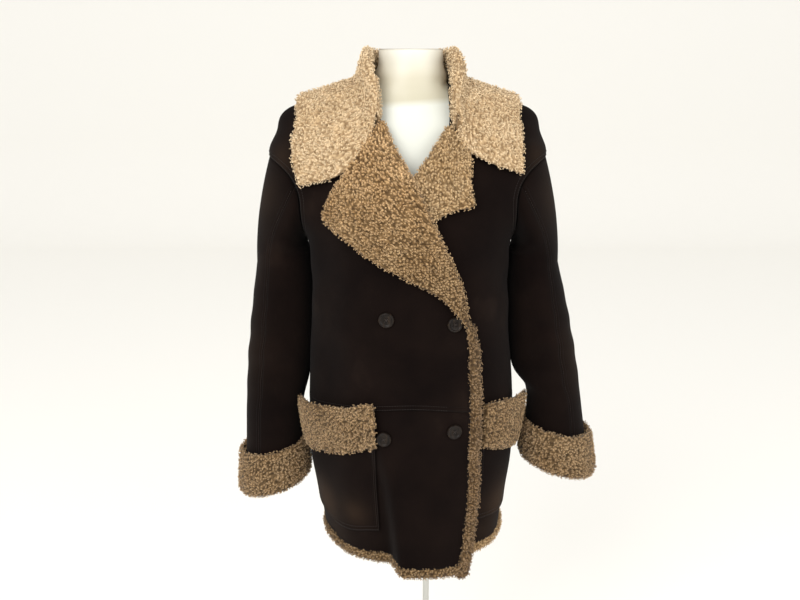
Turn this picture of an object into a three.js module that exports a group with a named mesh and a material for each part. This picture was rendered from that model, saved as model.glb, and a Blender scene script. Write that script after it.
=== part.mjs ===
// A double-breasted shearling coat worn by a limbless dress form on a stand.
// Millimetres, +Z up. The coat faces -Y, and the wearer's left side is at +X.
// The origin is the centre of the stand's foot, on the floor under the pole.
import * as THREE from "three";

// Driving dimensions of the coat
const AXIS_X = -30; // the form's middle, beside the pole
const SKIN = 7; // suede skin with its shorn wool, one wall
const WOOL = 8.5; // turned-out shearling: collar, lapels, pocket bands
const SEAM = 0.8; // gap between pieces that are sewn together
const HEM_Z = 622;
const NECK_Z = 1414;
const UNDERARM_Z = 1160;
const ARMHOLE_TOP_Z = 1296;
const ARMHOLE_REACH = 27; // degrees from the side line to the armhole's widest point
const SEAM_SIDE_Z = 866; // low waist seam at the side
const SEAM_FRONT_Z = 904; // low waist seam at the front
const BREAK_Z = 1040; // where the lapel starts to turn back
const FORM_LEAN_Z = 1000; // the form leans as the coat does above this height, and no more below it
const BUTTON_RADIUS = 12.5;
const BUTTON_THICKNESS = 4.6;

// Level sections of the coat's outside: half width, depths, squareness, sideways lean
const BODY = [
  { z: 600, half: 162, front: 150, back: 138, square: 2.4, lean: 3 },
  { z: 700, half: 173, front: 156, back: 146, square: 2.4, lean: 1 },
  { z: 760, half: 181, front: 161, back: 150, square: 2.4, lean: 0 },
  { z: 860, half: 185, front: 165, back: 155, square: 2.4, lean: -1 },
  { z: 1000, half: 176, front: 166, back: 150, square: 2.4, lean: -3 },
  { z: 1100, half: 172, front: 164, back: 143, square: 2.35, lean: -4 },
  { z: 1160, half: 178, front: 158, back: 140, square: 2.3, lean: -5 },
  { z: 1225, half: 218, front: 146, back: 134, square: 2.15, lean: -7 },
  { z: 1300, half: 236, front: 124, back: 122, square: 2.0, lean: -8 },
  { z: 1335, half: 224, front: 106, back: 110, square: 1.85, lean: -7 },
  { z: 1374, half: 204, front: 88, back: 92, square: 1.4, lean: -6 },
  { z: 1398, half: 128, front: 80, back: 86, square: 1.5, lean: -5 },
  { z: 1416, half: 75, front: 76, back: 80, square: 1.9, lean: -4 },
  { z: 1440, half: 60, front: 66, back: 70, square: 2.0, lean: -3 },
];

// Level sections of the dress form
const FORM = [
  { z: 800, half: 150, front: 92, back: 104, square: 2.2 },
  { z: 860, half: 160, front: 100, back: 118, square: 2.2 },
  { z: 940, half: 152, front: 104, back: 110, square: 2.2 },
  { z: 1050, half: 118, front: 96, back: 84, square: 2.1 },
  { z: 1130, half: 134, front: 116, back: 92, square: 2.2 },
  { z: 1200, half: 154, front: 126, back: 100, square: 2.2 },
  { z: 1290, half: 184, front: 104, back: 102, square: 2.2 },
  { z: 1345, half: 186, front: 86, back: 92, square: 1.9 },
  { z: 1380, half: 158, front: 73, back: 80, square: 1.5 },
  { z: 1400, half: 100, front: 64, back: 70, square: 1.7 },
  { z: 1416, half: 66.5, front: 60, back: 62, square: 2.0 },
  { z: 1430, half: 60.5, front: 57, back: 58, square: 2.0 },
  { z: 1446, half: 54.5, front: 54, back: 55, square: 2.0 },
  { z: 1470, half: 53, front: 53, back: 54, square: 2.0 },
];

// Sleeve sections, from the upper arm to the hand: outer and inner side as distances from the coat's middle
const SLEEVES = {
  right: [
    { z: 1120, outer: 272, inner: 180, depth: 70, forward: 0, tilt: 6 },
    { z: 1038, outer: 284, inner: 179, depth: 67, forward: 4, tilt: 6 },
    { z: 947, outer: 295, inner: 183.8, depth: 65, forward: 9, tilt: 8 },
    { z: 895, outer: 299, inner: 188.5, depth: 63, forward: 12, tilt: 9 },
    { z: 846, outer: 302, inner: 199, depth: 62, forward: 14, tilt: 10 },
    { z: 776, outer: 305, inner: 201, depth: 60, forward: 17, tilt: 12 },
    { z: 706, outer: 308, inner: 201, depth: 60, forward: 20, tilt: 15 },
  ],
  left: [
    { z: 1120, outer: 256, inner: 173, depth: 70, forward: 0, tilt: 6 },
    { z: 1045, outer: 275, inner: 172.2, depth: 67, forward: 4, tilt: 6 },
    { z: 958, outer: 294, inner: 177.8, depth: 65, forward: 9, tilt: 8 },
    { z: 907, outer: 303, inner: 187, depth: 63, forward: 12, tilt: 9 },
    { z: 872, outer: 308, inner: 209.5, depth: 62, forward: 14, tilt: 10 },
    { z: 804, outer: 319, inner: 211.5, depth: 60, forward: 17, tilt: 12 },
    { z: 742, outer: 328, inner: 213, depth: 60, forward: 20, tilt: 15 },
  ],
};
const CUFF_HEIGHT = 66;

// Edges seen from the front: distance from the middle at each height
const RIGHT_EDGE = [
  { z: 600, x: 78 },
  { z: 670, x: 87.5 },
  { z: 742, x: 93 },
  { z: 850, x: 95 },
  { z: 940, x: 93.5 },
  { z: 1000, x: 90 },
  { z: BREAK_Z, x: 84 },
  { z: 1080, x: 76 },
  { z: 1120, x: 62 },
  { z: 1223, x: 15 },
  { z: 1263, x: -4 },
  { z: 1289, x: -19 },
  { z: 1323, x: -38 },
  { z: 1359, x: -51 },
  { z: NECK_Z, x: -64 },
];
const LEFT_EDGE = [
  { z: 600, x: -66 },
  { z: 1000, x: -70 },
  { z: 1150, x: -45 },
  { z: 1269, x: 8 },
  { z: 1314, x: 38 },
  { z: 1352, x: 58 },
  { z: NECK_Z, x: 60 },
];

// Small helpers
const degrees = THREE.MathUtils.degToRad;
const clamp = (t) => Math.min(1, Math.max(0, t));
const ease = (t) => clamp(t) ** 2 * (3 - 2 * clamp(t));
const mix = (a, b, t) => a + (b - a) * t;
const range = (count) => Array.from({ length: count + 1 }, (_, i) => i / count);

// The value of one column of a table at height z, on a smooth curve through its rows.
function column(table, name, z, key = "z") {
  const sign = Math.sign(table[table.length - 1][key] - table[0][key]);
  let i = 0;
  while (i < table.length - 2 && sign * (z - table[i + 1][key]) > 0) i += 1;
  const slope = (k) => {
    const before = table[Math.max(k - 1, 0)];
    const after = table[Math.min(k + 1, table.length - 1)];
    return (after[name] - before[name]) / (after[key] - before[key]);
  };
  const a = table[i];
  const b = table[i + 1];
  const span = b[key] - a[key];
  const t = clamp((z - a[key]) / span);
  const t2 = t * t;
  const t3 = t2 * t;
  return (
    (2 * t3 - 3 * t2 + 1) * a[name] +
    (t3 - 2 * t2 + t) * span * slope(i) +
    (3 * t2 - 2 * t3) * b[name] +
    (t3 - t2) * span * slope(i + 1)
  );
}

// A point on a level section: angle 0 faces the front (-Y), 90 degrees is +X.
function sectionPoint(table, angle, z) {
  const half = column(table, "half", z);
  const depth = column(table, Math.cos(angle) > 0 ? "front" : "back", z);
  const n = column(table, "square", z);
  const s = Math.sin(angle);
  const c = Math.cos(angle);
  const r = (Math.abs(s / half) ** n + Math.abs(c / depth) ** n) ** (-1 / n);
  const lean = column(BODY, "lean", table === BODY ? z : Math.max(z, FORM_LEAN_Z));
  return new THREE.Vector3(lean + r * s, -r * c, z);
}

// The same point moved out of the coat's surface by a distance, and straight forward by another.
function onCoat(angle, z, out = 0, forward = 0) {
  const at = sectionPoint(BODY, angle, z);
  const step = 0.02;
  const along = sectionPoint(BODY, angle + step, z).sub(sectionPoint(BODY, angle - step, z));
  const up = sectionPoint(BODY, angle, z + 2).sub(sectionPoint(BODY, angle, z - 2));
  at.addScaledVector(along.cross(up).normalize(), out);
  at.y -= forward;
  return at;
}

// The angle at which the front of the coat has a given x.
function angleAtX(x, z) {
  const half = column(BODY, "half", z);
  const depth = column(BODY, "front", z);
  const n = column(BODY, "square", z);
  const dx = x - column(BODY, "lean", z);
  const y = depth * Math.max(0, 1 - Math.abs(dx / half) ** n) ** (1 / n);
  return Math.atan2(dx, y);
}

// A closed wall between two grids of points, given as functions of (u, v) in 0..1.
// A wall that is closed round u joins its last column to its first.
function wall(us, vs, outer, inner, closed = false) {
  const rows = vs.length;
  const columns = closed ? us.length - 1 : us.length;
  const points = [];
  for (const face of [outer, inner]) {
    for (let i = 0; i < columns; i += 1) {
      for (let j = 0; j < rows; j += 1) points.push(face(us[i], vs[j]));
    }
  }
  const at = (side, i, j) => side * columns * rows + (i % columns) * rows + j;
  const quads = [];
  const cells = closed ? columns : columns - 1;
  for (let i = 0; i < cells; i += 1) {
    for (let j = 0; j < rows - 1; j += 1) {
      quads.push([at(0, i, j), at(0, i + 1, j), at(0, i + 1, j + 1), at(0, i, j + 1)]);
      quads.push([at(1, i, j), at(1, i, j + 1), at(1, i + 1, j + 1), at(1, i + 1, j)]);
    }
    quads.push([at(0, i, 0), at(1, i, 0), at(1, i + 1, 0), at(0, i + 1, 0)]);
    const top = rows - 1;
    quads.push([at(0, i, top), at(0, i + 1, top), at(1, i + 1, top), at(1, i, top)]);
  }
  if (!closed) {
    const last = columns - 1;
    for (let j = 0; j < rows - 1; j += 1) {
      quads.push([at(0, 0, j), at(0, 0, j + 1), at(1, 0, j + 1), at(1, 0, j)]);
      quads.push([at(0, last, j), at(1, last, j), at(1, last, j + 1), at(0, last, j + 1)]);
    }
  }
  return solid(points, quads);
}

// A geometry from points and faces of three or four corners, turned so that its faces point out.
function solid(points, faces) {
  const position = new Float32Array(points.flatMap((p) => [p.x, p.y, p.z]));
  let index = faces.flatMap(([a, b, c, d]) => (d === undefined ? [a, b, c] : [a, b, c, a, c, d]));
  let volume = 0;
  for (let i = 0; i < index.length; i += 3) {
    const [a, b, c] = [0, 1, 2].map((k) => points[index[i + k]]);
    volume += a.dot(b.clone().cross(c));
  }
  if (volume < 0) index = index.flatMap((v, i) => (i % 3 ? [] : [v, index[i + 2], index[i + 1]]));
  const geometry = new THREE.BufferGeometry();
  geometry.setAttribute("position", new THREE.BufferAttribute(position, 3));
  geometry.setIndex(index);
  return geometry;
}

// A band whose closed section of out and along is carried along a path by place(t, out, along).
function band(steps, section, place, closed = false) {
  const size = section.length;
  const count = closed ? steps.length - 1 : steps.length;
  const points = [];
  for (let i = 0; i < count; i += 1) {
    section.forEach(({ out, along }) => points.push(place(steps[i], out, along)));
  }
  const faces = [];
  for (let i = 0; i < (closed ? count : count - 1); i += 1) {
    const here = i * size;
    const there = ((i + 1) % count) * size;
    for (let k = 0; k < size; k += 1) {
      const next = (k + 1) % size;
      faces.push([here + k, here + next, there + next, there + k]);
    }
  }
  if (!closed) {
    const outline = section.map(({ out, along }) => new THREE.Vector2(out, along));
    const way = Math.sign(THREE.ShapeUtils.area(outline));
    THREE.ShapeUtils.triangulateShape(outline, []).forEach((face) => {
      const same = Math.sign(THREE.ShapeUtils.area(face.map((k) => outline[k]))) === way;
      const [a, b, c] = same ? face : [face[0], face[2], face[1]];
      faces.push([a, c, b]);
      faces.push([a, b, c].map((k) => (count - 1) * size + k));
    });
  }
  return solid(points, faces);
}

// A closed body from rings of points, with a flat cap at each end.
function stack(rings) {
  const size = rings[0].length;
  const faces = [];
  for (let i = 0; i < rings.length - 1; i += 1) {
    for (let k = 0; k < size; k += 1) {
      const next = (k + 1) % size;
      faces.push([i * size + k, i * size + next, (i + 1) * size + next, (i + 1) * size + k]);
    }
  }
  const last = (rings.length - 1) * size;
  for (let k = 1; k < size - 1; k += 1) {
    faces.push([0, k + 1, k]);
    faces.push([last, last + k, last + k + 1]);
  }
  return solid(rings.flat(), faces);
}

// A sheet of one thickness about a middle surface given as a function of (u, v).
function sheet(us, vs, middle, thickness) {
  const face = (side) => (u, v) => {
    const step = 0.004;
    const along = middle(Math.min(1, u + step), v).sub(middle(Math.max(0, u - step), v));
    const across = middle(u, Math.min(1, v + step)).sub(middle(u, Math.max(0, v - step)));
    return middle(u, v).addScaledVector(along.cross(across).normalize(), (side * thickness) / 2);
  };
  return wall(us, vs, face(1), face(-1));
}

const MATERIALS = {
  suede: { color: 0x2a1c16, roughness: 0.9, metalness: 0 },
  wool: { color: 0xb0905f, roughness: 1, metalness: 0 },
  horn: { color: 0x2b2620, roughness: 0.3, metalness: 0 },
  form: { color: 0xf0eee4, roughness: 0.55, metalness: 0 },
  steel: { color: 0xa8a8a0, roughness: 0.35, metalness: 0.9 },
};
const coat = new THREE.Group();
const stand = new THREE.Group();
function add(group, name, material, geometry) {
  const mesh = new THREE.Mesh(geometry, new THREE.MeshStandardMaterial(MATERIALS[material]));
  mesh.name = name;
  group.add(mesh);
}

// How far the fronts stand off the coat's surface
const OVERLAP_STEP = 9; // over the hidden edge of the left front
const BAND_STEP = 12; // more, over the left pocket band and left lapel
const HEM_SWING = 34; // the overlapping front swings forward at the hem
const RIDGE = [
  { z: 600, start: -38, wide: 22 },
  { z: 760, start: -58, wide: 26 },
  { z: 860, start: -92, wide: 46 },
  { z: 960, start: -150, wide: 130 },
  { z: 1200, start: -150, wide: 110 },
  { z: 1420, start: -150, wide: 110 },
];
function rightLift(x, z) {
  const chestFade = 1 - ease((z - 1250) / 140);
  const start = column(RIDGE, "start", z);
  const ridge = ease((x - start) / column(RIDGE, "wide", z));
  const swing = HEM_SWING * clamp((860 - z) / 240) ** 1.4;
  return (OVERLAP_STEP * ease((x + 150) / 50) + (BAND_STEP + swing) * ridge) * chestFade;
}

// A point on one front, by its x and height, moved out of the panel's outside.
function onFront(side, x, z, out) {
  return onCoat(angleAtX(x, z), z, out, side === "right" ? rightLift(x, z) : 0);
}
// The same by its angle from the front.
function onPanel(side, angle, z, out) {
  return onCoat(angle, z, out, side === "right" ? rightLift(sectionPoint(BODY, angle, z).x, z) : 0);
}

// The low waist seam dips to the sides.
const waistSeam = (angle) => mix(SEAM_SIDE_Z, SEAM_FRONT_Z, Math.cos(angle) ** 2);
// The armhole's front or back edge at height z, as an angle from the front.
function armholeAngle(z, back) {
  const middle = (UNDERARM_Z + ARMHOLE_TOP_Z) / 2;
  const half = (ARMHOLE_TOP_Z - UNDERARM_Z) / 2;
  const s = Math.sqrt(Math.max(0, 1 - ((z - middle) / half) ** 2));
  return 90 + (back ? 1 : -1) * ARMHOLE_REACH * s;
}
const sideGap = (z) => (SEAM / 2 / column(BODY, "front", z)) * (180 / Math.PI);

// Heights of the rows of an upper panel above its seam, closer together round the armhole and shoulder
const UPPER_ROWS = [
  SEAM_SIDE_Z, 960, 1040, 1110,
  UNDERARM_Z, 1165, 1180, 1204, 1228, 1252, 1276, 1291, ARMHOLE_TOP_Z,
  1306, 1316, 1326, 1336, 1356, 1372, 1384, 1394, 1402, 1408, NECK_Z,
];
const isArmhole = (z) => z > UNDERARM_Z && z < ARMHOLE_TOP_Z;

// Upright lines of the fronts between edge and side: shares of the way above the seam, and below it
// degrees from the front, closer together where the overlap steps over the pocket band
const UPPER_LINES = {
  right: [0, 0.1, 0.2, 0.3, 0.38, 0.46, 0.54, 0.62, 0.7, 0.79, 0.89, 1],
  left: range(10),
};
const LOWER_ANGLES = {
  right: [-22, -12, -3, 4, 9, 13, 17, 21, 28, 36, 50, 64, 77],
  left: [-12, 0, 12, 24, 40, 50, 60, 70, 80],
};
const LOWER_BACK_ROWS = 4;
const FRONT_EDGES = { right: RIGHT_EDGE, left: LEFT_EDGE };

// The upper front, from the waist seam to the neck and from its edge to the side seam or armhole
function upperFront(side) {
  const sign = side === "right" ? -1 : 1;
  const face = (out) => (u, row) => {
    const level = Math.max(SEAM_FRONT_Z, UPPER_ROWS[row]);
    const reach = isArmhole(level) ? armholeAngle(level, false) : 90;
    const from = angleAtX(column(FRONT_EDGES[side], "x", level), level);
    const angle = mix(from, degrees(sign * (reach - sideGap(level))), u);
    return onPanel(side, angle, row === 0 ? waistSeam(angle) + SEAM / 2 : level, out);
  };
  return wall(UPPER_LINES[side], UPPER_ROWS.map((_, row) => row), face(0), face(-SKIN));
}

// The lower front, from the hem to the waist seam; its first line is the edge and its last the side seam
function lowerFront(side) {
  const sign = side === "right" ? -1 : 1;
  const lines = LOWER_ANGLES[side];
  const face = (out) => (line, v) => {
    const level = mix(HEM_Z, SEAM_FRONT_Z, v);
    const edge = angleAtX(column(FRONT_EDGES[side], "x", level), level);
    const own = line > lines.length ? 90 - sideGap(level) : lines[line - 1];
    const angle = line === 0 ? edge : degrees(sign * own);
    return onPanel(side, angle, mix(HEM_Z, waistSeam(angle) - SEAM / 2, v), out);
  };
  return wall([0, ...lines.map((_, i) => i + 1), lines.length + 1], range(8), face(0), face(-SKIN));
}

// The back, between the side seams or armholes
function back(lower) {
  const face = (out) => (u, row) => {
    const level = lower ? mix(HEM_Z, SEAM_SIDE_Z, row / LOWER_BACK_ROWS) : UPPER_ROWS[row];
    const reach = isArmhole(level) && !lower ? armholeAngle(level, true) : 90;
    const from = reach + sideGap(level);
    const angle = degrees(mix(from, 360 - from, u));
    const onSeam = lower ? row === LOWER_BACK_ROWS : row === 0;
    const seam = waistSeam(angle) + (lower ? -SEAM : SEAM) / 2;
    return onCoat(angle, onSeam ? seam : level, out);
  };
  const rows = lower ? [0, 1, 2, 3, LOWER_BACK_ROWS] : UPPER_ROWS.map((_, row) => row);
  return wall(range(16), rows, face(0), face(-SKIN));
}

for (const side of ["right", "left"]) {
  add(coat, `${side}_front_upper`, "suede", upperFront(side));
  add(coat, `${side}_front_lower`, "suede", lowerFront(side));
}
add(coat, "back_upper", "suede", back(false));
add(coat, "back_lower", "suede", back(true));

// Sleeves. t goes round from the underarm (0) by the front (90 degrees) and the outside (180).
function sleeveRing(side, t, z, out) {
  const table = SLEEVES[side];
  const outer = column(table, "outer", z);
  const inner = column(table, "inner", z);
  const wide = (outer - inner) / 2 + out;
  const x = (outer + inner) / 2 - Math.cos(t) * wide;
  const y = -column(table, "forward", z) - Math.sin(t) * (column(table, "depth", z) + out);
  const drop = column(table, "tilt", z) * Math.cos(t);
  return new THREE.Vector3(side === "right" ? -x : x, y, z + drop);
}

// The sleeve's head starts inside the armhole's rim and bows out over the shoulder
const HEAD_EASE = 2; // millimetres at its top and bottom
const HEAD_EASE_ANGLE = 0.8; // degrees at its front and back
const HEAD_BOW = { top: 62, leave: 7, arrive: 14 }; // lengths of the curve's handles: top, and underarm
// The sleeve's outside: rows 0 to 1 run from the armhole to the first ring, then down to the cuff.
function sleevePoint(side, t, row, out) {
  const table = SLEEVES[side];
  const first = table[0].z;
  const end = table[table.length - 1].z;
  if (row >= 1) return sleeveRing(side, t, mix(first, end, row - 1), out);
  const sign = side === "right" ? -1 : 1;
  const middle = (UNDERARM_Z + ARMHOLE_TOP_Z) / 2;
  const half = (ARMHOLE_TOP_Z - UNDERARM_Z) / 2 - HEAD_EASE;
  const angle = degrees(sign * (90 - (ARMHOLE_REACH - HEAD_EASE_ANGLE) * Math.sin(t)));
  const start = onCoat(angle, middle - half * Math.cos(t));
  const normal = onCoat(angle, start.z, 1).sub(start);
  const low = (1 + Math.cos(t)) / 2;
  const centre = onCoat(degrees(sign * 90), middle);
  const down = new THREE.Vector3(0, 0, -1);
  const lead = normal.clone().multiplyScalar(mix(0.3, 1, low)).addScaledVector(down, 1 - low);
  const goal = sleeveRing(side, t, first, 0);
  const fromArmhole = start.clone().addScaledVector(lead.normalize(), mix(HEAD_BOW.top, HEAD_BOW.leave, low));
  const toRing = goal.clone().addScaledVector(down, -mix(HEAD_BOW.top, HEAD_BOW.arrive, low));
  const path = new THREE.CubicBezierCurve3(start, fromArmhole, toRing, goal).getPoint(row);
  const toCentre = centre.sub(start).normalize();
  const startIn = normal.negate().multiplyScalar(1 - low).addScaledVector(toCentre, low).normalize();
  const endIn = goal.clone().sub(sleeveRing(side, t, first, 1)).normalize();
  return path.addScaledVector(startIn.lerp(endIn, ease(row)).normalize(), -out);
}
const SLEEVE_ROWS = [0, 0.1, 0.22, 0.36, 0.5, 0.66, 0.83, 1, 1.2, 1.4, 1.6, 1.8, 2];
const SLEEVE_SEAMS = { front: 112, back: 255 }; // degrees round from the underarm
const SLEEVE_GAP = 0.2; // degrees from a seam to each piece
// The cuff's section, closed: turned back over the sleeve's end, its fold under the sleeve's wall
const CUFF_SECTION = [
  { out: 1.6, along: 0 },
  { out: 6, along: -4 },
  { out: 10, along: 0 },
  { out: 11.5, along: 22 },
  { out: 12.5, along: CUFF_HEIGHT - 14 },
  { out: 11, along: CUFF_HEIGHT + 2 },
  { out: 5, along: CUFF_HEIGHT + 9 },
  { out: -4, along: CUFF_HEIGHT + 9 },
  { out: -8, along: CUFF_HEIGHT + 5 },
  { out: -SKIN, along: CUFF_HEIGHT + 1.2 },
  { out: 1.6, along: CUFF_HEIGHT + 1.2 },
  { out: 1.6, along: CUFF_HEIGHT / 2 },
];
for (const side of ["right", "left"]) {
  const pieces = {
    top: [SLEEVE_SEAMS.front, SLEEVE_SEAMS.back, 10],
    under: [SLEEVE_SEAMS.back, SLEEVE_SEAMS.front + 360, 14],
  };
  for (const [name, [from, to, steps]] of Object.entries(pieces)) {
    const turn = (u) => degrees(mix(from + SLEEVE_GAP, to - SLEEVE_GAP, u));
    const face = (out) => (u, row) => sleevePoint(side, turn(u), row, out);
    add(coat, `${side}_sleeve_${name}`, "suede", wall(range(steps), SLEEVE_ROWS, face(0), face(-SKIN)));
  }
  const end = SLEEVES[side].at(-1).z;
  const place = (u, out, along) => sleeveRing(side, 2 * Math.PI * u, end + CUFF_HEIGHT - along, out);
  add(coat, `${side}_cuff`, "wool", band(range(24), CUFF_SECTION, place, true));
}

// Lapels: each row runs from the front's edge at rollZ to the lapel's own edge
const LAPELS = {
  right: [
    { roll: 1044, x: 78, z: 1048, rise: 7.6 },
    { roll: 1075, x: 66, z: 1066, rise: 6 },
    { roll: 1106, x: 40, z: 1096, rise: 2 },
    { roll: 1132, x: -11, z: 1124, rise: 1 },
    { roll: 1158, x: -62, z: 1151, rise: 1 },
    { roll: 1184, x: -108, z: 1184, rise: 2 },
    { roll: 1208, x: -134, z: 1205, rise: 4 },
    { roll: 1234, x: -137, z: 1218, rise: 5 },
    { roll: 1258, x: -131, z: 1236, rise: 4 },
    { roll: 1284, x: -122, z: 1254, rise: 2 },
    { roll: 1301, x: -114, z: 1266, rise: 1 },
    { roll: 1318, x: -108, z: 1275, rise: 1 },
    { roll: 1336, x: -105, z: 1279, rise: 1 },
    { roll: 1353, x: -104, z: 1281, rise: 1 },
  ],
  left: [
    { roll: 1196, x: 12, z: 1198, rise: 0.6 },
    { roll: 1214, x: 36, z: 1210, rise: 0.6 },
    { roll: 1236, x: 61, z: 1223, rise: 1 },
    { roll: 1258, x: 91, z: 1229, rise: 2 },
    { roll: 1280, x: 89, z: 1250, rise: 2 },
    { roll: 1304, x: 88, z: 1280, rise: 1 },
    { roll: 1346, x: 90, z: 1306, rise: 1 },
  ],
};
// The roll round the front's edge: outer and inner face, across from the edge and out from the panel,
// at each share of the lapel's width
const ROLL = [
  { u: 0, across: -2.6, out: -6.8, innerAcross: -1.8, innerOut: -6.8 },
  { u: 0.01, across: -8, out: -4, innerAcross: -1.8, innerOut: -3.4 },
  { u: 0.02, across: -10, out: 2.5, innerAcross: -1.8, innerOut: 1.6 },
  { u: 0.03, across: -6.5, out: 8.6, innerAcross: 0, innerOut: 2.2 },
  { u: 0.06, across: 1, out: WOOL + 2.6, innerAcross: 1.5, innerOut: 2.6 },
];
const ROLL_SHARE = ROLL.at(-1).u;
const LAPEL_BASE = { right: 3, left: 1.6 }; // the lapel's underside off the front
const RIM_DROP = 1.5; // the wool is thinner at the lapel's own edge
function lapel(side) {
  const rows = LAPELS[side];
  const face = (outside) => (u, row) => {
    const { roll, x: endX, z: endZ, rise } = rows[row];
    const rollX = column(FRONT_EDGES[side], "x", roll);
    const width = Math.hypot(endX - rollX, endZ - roll);
    const hook = ROLL.find((h) => h.u === u);
    const share = (u - ROLL_SHARE) / (1 - ROLL_SHARE);
    const across = hook ? (outside ? hook.across : hook.innerAcross) : mix(ROLL.at(-1).across, width, share);
    const narrow = across > 0 ? 1 : Math.min(1, Math.max(0.55, width / 20));
    const x = rollX + ((endX - rollX) / width) * across * narrow;
    const z = roll + ((endZ - roll) / width) * Math.max(0, across);
    const base = LAPEL_BASE[side] + rise * ease((u - 0.05) / 0.5);
    const top = base + WOOL - (u === 1 ? RIM_DROP : 0);
    const out = hook ? (outside ? hook.out : hook.innerOut) : outside ? top : base;
    return onFront(side, x, z, out);
  };
  const us = [...ROLL.map((h) => h.u), 0.2, 0.4, 0.6, 0.8, 0.95, 1];
  return wall(us, rows.map((_, row) => row), face(true), face(false));
}
add(coat, "right_lapel", "wool", lapel("right"));
add(coat, "left_lapel", "wool", lapel("left"));

// Collar: lines from the neck seam over the roll to the collar's edge, from one front end (u 0)
// round the back (u 1). Angles are from the front, for each side.
const COLLAR = {
  right: [
    { u: 0, seam: 27, seamZ: 1355, roll: 22, mid: 40, midZ: 1286, edge: 60.2, edgeZ: 1261 },
    { u: 0.12, seam: 33.6, seamZ: 1383, roll: 30, mid: 48.5, midZ: 1324, edge: 64.2, edgeZ: 1291 },
    { u: 0.25, seam: 42.6, seamZ: 1401, roll: 42, mid: 57, midZ: 1353, edge: 69.5, edgeZ: 1324 },
    { u: 0.4, seam: 56, seamZ: 1414, roll: 50, mid: 73, midZ: 1389, edge: 77.5, edgeZ: 1362 },
    { u: 0.52, seam: 78, seamZ: 1414, roll: 55, mid: 88, midZ: 1401, edge: 90, edgeZ: 1384 },
    { u: 0.64, seam: 100, seamZ: 1414, roll: 54, mid: 106, midZ: 1398, edge: 108, edgeZ: 1376 },
    { u: 0.76, seam: 126, seamZ: 1414, roll: 52, mid: 128, midZ: 1388, edge: 130, edgeZ: 1358 },
    { u: 0.88, seam: 153, seamZ: 1414, roll: 50, mid: 154, midZ: 1381, edge: 155, edgeZ: 1344 },
    { u: 1, seam: 180, seamZ: 1414, roll: 50, mid: 180, midZ: 1378, edge: 180, edgeZ: 1338 },
  ],
  left: [
    { u: 0, seam: 38.4, seamZ: 1352, roll: 22, mid: 42.5, midZ: 1312, edge: 63.5, edgeZ: 1279 },
    { u: 0.12, seam: 43.5, seamZ: 1383, roll: 30, mid: 52, midZ: 1336, edge: 65.5, edgeZ: 1306 },
    { u: 0.25, seam: 50.5, seamZ: 1400, roll: 42, mid: 62, midZ: 1362, edge: 71, edgeZ: 1336 },
    { u: 0.4, seam: 62, seamZ: 1414, roll: 50, mid: 76, midZ: 1392, edge: 79.1, edgeZ: 1369 },
    { u: 0.52, seam: 80, seamZ: 1414, roll: 55, mid: 90, midZ: 1402, edge: 91, edgeZ: 1385 },
    { u: 0.64, seam: 101, seamZ: 1414, roll: 54, mid: 106, midZ: 1398, edge: 108, edgeZ: 1378 },
    { u: 0.76, seam: 126, seamZ: 1414, roll: 52, mid: 128, midZ: 1388, edge: 130, edgeZ: 1358 },
    { u: 0.88, seam: 153, seamZ: 1414, roll: 50, mid: 154, midZ: 1381, edge: 155, edgeZ: 1344 },
    { u: 1, seam: 180, seamZ: 1414, roll: 50, mid: 180, midZ: 1378, edge: 180, edgeZ: 1338 },
  ],
};
// The collar's middle line across its roll: share of the roll's height, and distance out from the seam
// at the front ends and round the neck
const COLLAR_ROLL = [
  { v: 0, up: 0.05, front: 5.7, neck: -3 },
  { v: 0.1, up: 0.34, front: 6.4, neck: -8 },
  { v: 0.2, up: 0.68, front: 7, neck: -12 },
  { v: 0.29, up: 0.97, front: 11.8, neck: -7.4 },
  { v: 0.38, up: 0.72, front: 16.6, neck: -2 },
  { v: 0.46, up: 0.42, front: 17.2, neck: 3 },
];
const COLLAR_LIFT = 9.6; // middle of the collar's wall off the coat
const ROLL_END = 0.38; // share of the way across where the collar has turned over
const FALL_START = 0.56; // and where it lies along the shoulders
const FALL_FROM = 0.2; // share of the fall's own lines at that place
const BRIDGE = 12; // length of the handles of the curve between the two
function collarMiddle(s, v) {
  const side = s < 1 ? "right" : "left";
  const u = s < 1 ? s : 2 - s;
  const sign = s < 1 ? -1 : 1;
  const at = (name) => column(COLLAR[side], name, u, "u");
  const seamAngle = degrees(sign * at("seam"));
  const seam = sectionPoint(BODY, seamAngle, at("seamZ"));
  const radial = new THREE.Vector3(Math.sin(seamAngle), -Math.cos(seamAngle), 0);
  const share = ease((u - 0.34) / 0.22); // 0 where it rises straight up in front, 1 round the neck
  const rollPoint = (t) => {
    const rollAt = (name) => column(COLLAR_ROLL, name, t, "v");
    const up = new THREE.Vector3(0, 0, rollAt("up") * at("roll"));
    return seam.clone().addScaledVector(radial, mix(rollAt("front"), rollAt("neck"), share)).add(up);
  };
  const fallLine = (name, t) => {
    const [from, middle, to] = name === "angle" ? ["seam", "mid", "edge"] : ["seamZ", "midZ", "edgeZ"];
    return mix(mix(at(from), at(middle), t * 2), mix(at(middle), at(to), t * 2 - 1), ease(t));
  };
  const fallPoint = (t) => {
    return onPanel(side, degrees(sign * fallLine("angle", t)), fallLine("height", t), COLLAR_LIFT);
  };
  if (v <= ROLL_END) return rollPoint(v);
  if (v >= FALL_START) return fallPoint(mix(FALL_FROM, 1, (v - FALL_START) / (1 - FALL_START)));
  const start = rollPoint(ROLL_END);
  const end = fallPoint(FALL_FROM);
  const leave = start.clone().sub(rollPoint(ROLL_END - 0.01)).normalize();
  const arrive = end.clone().sub(fallPoint(FALL_FROM + 0.02)).normalize();
  return new THREE.CubicBezierCurve3(
    start,
    start.clone().addScaledVector(leave, BRIDGE),
    end.clone().addScaledVector(arrive, BRIDGE),
    end,
  ).getPoint((v - ROLL_END) / (FALL_START - ROLL_END));
}
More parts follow.
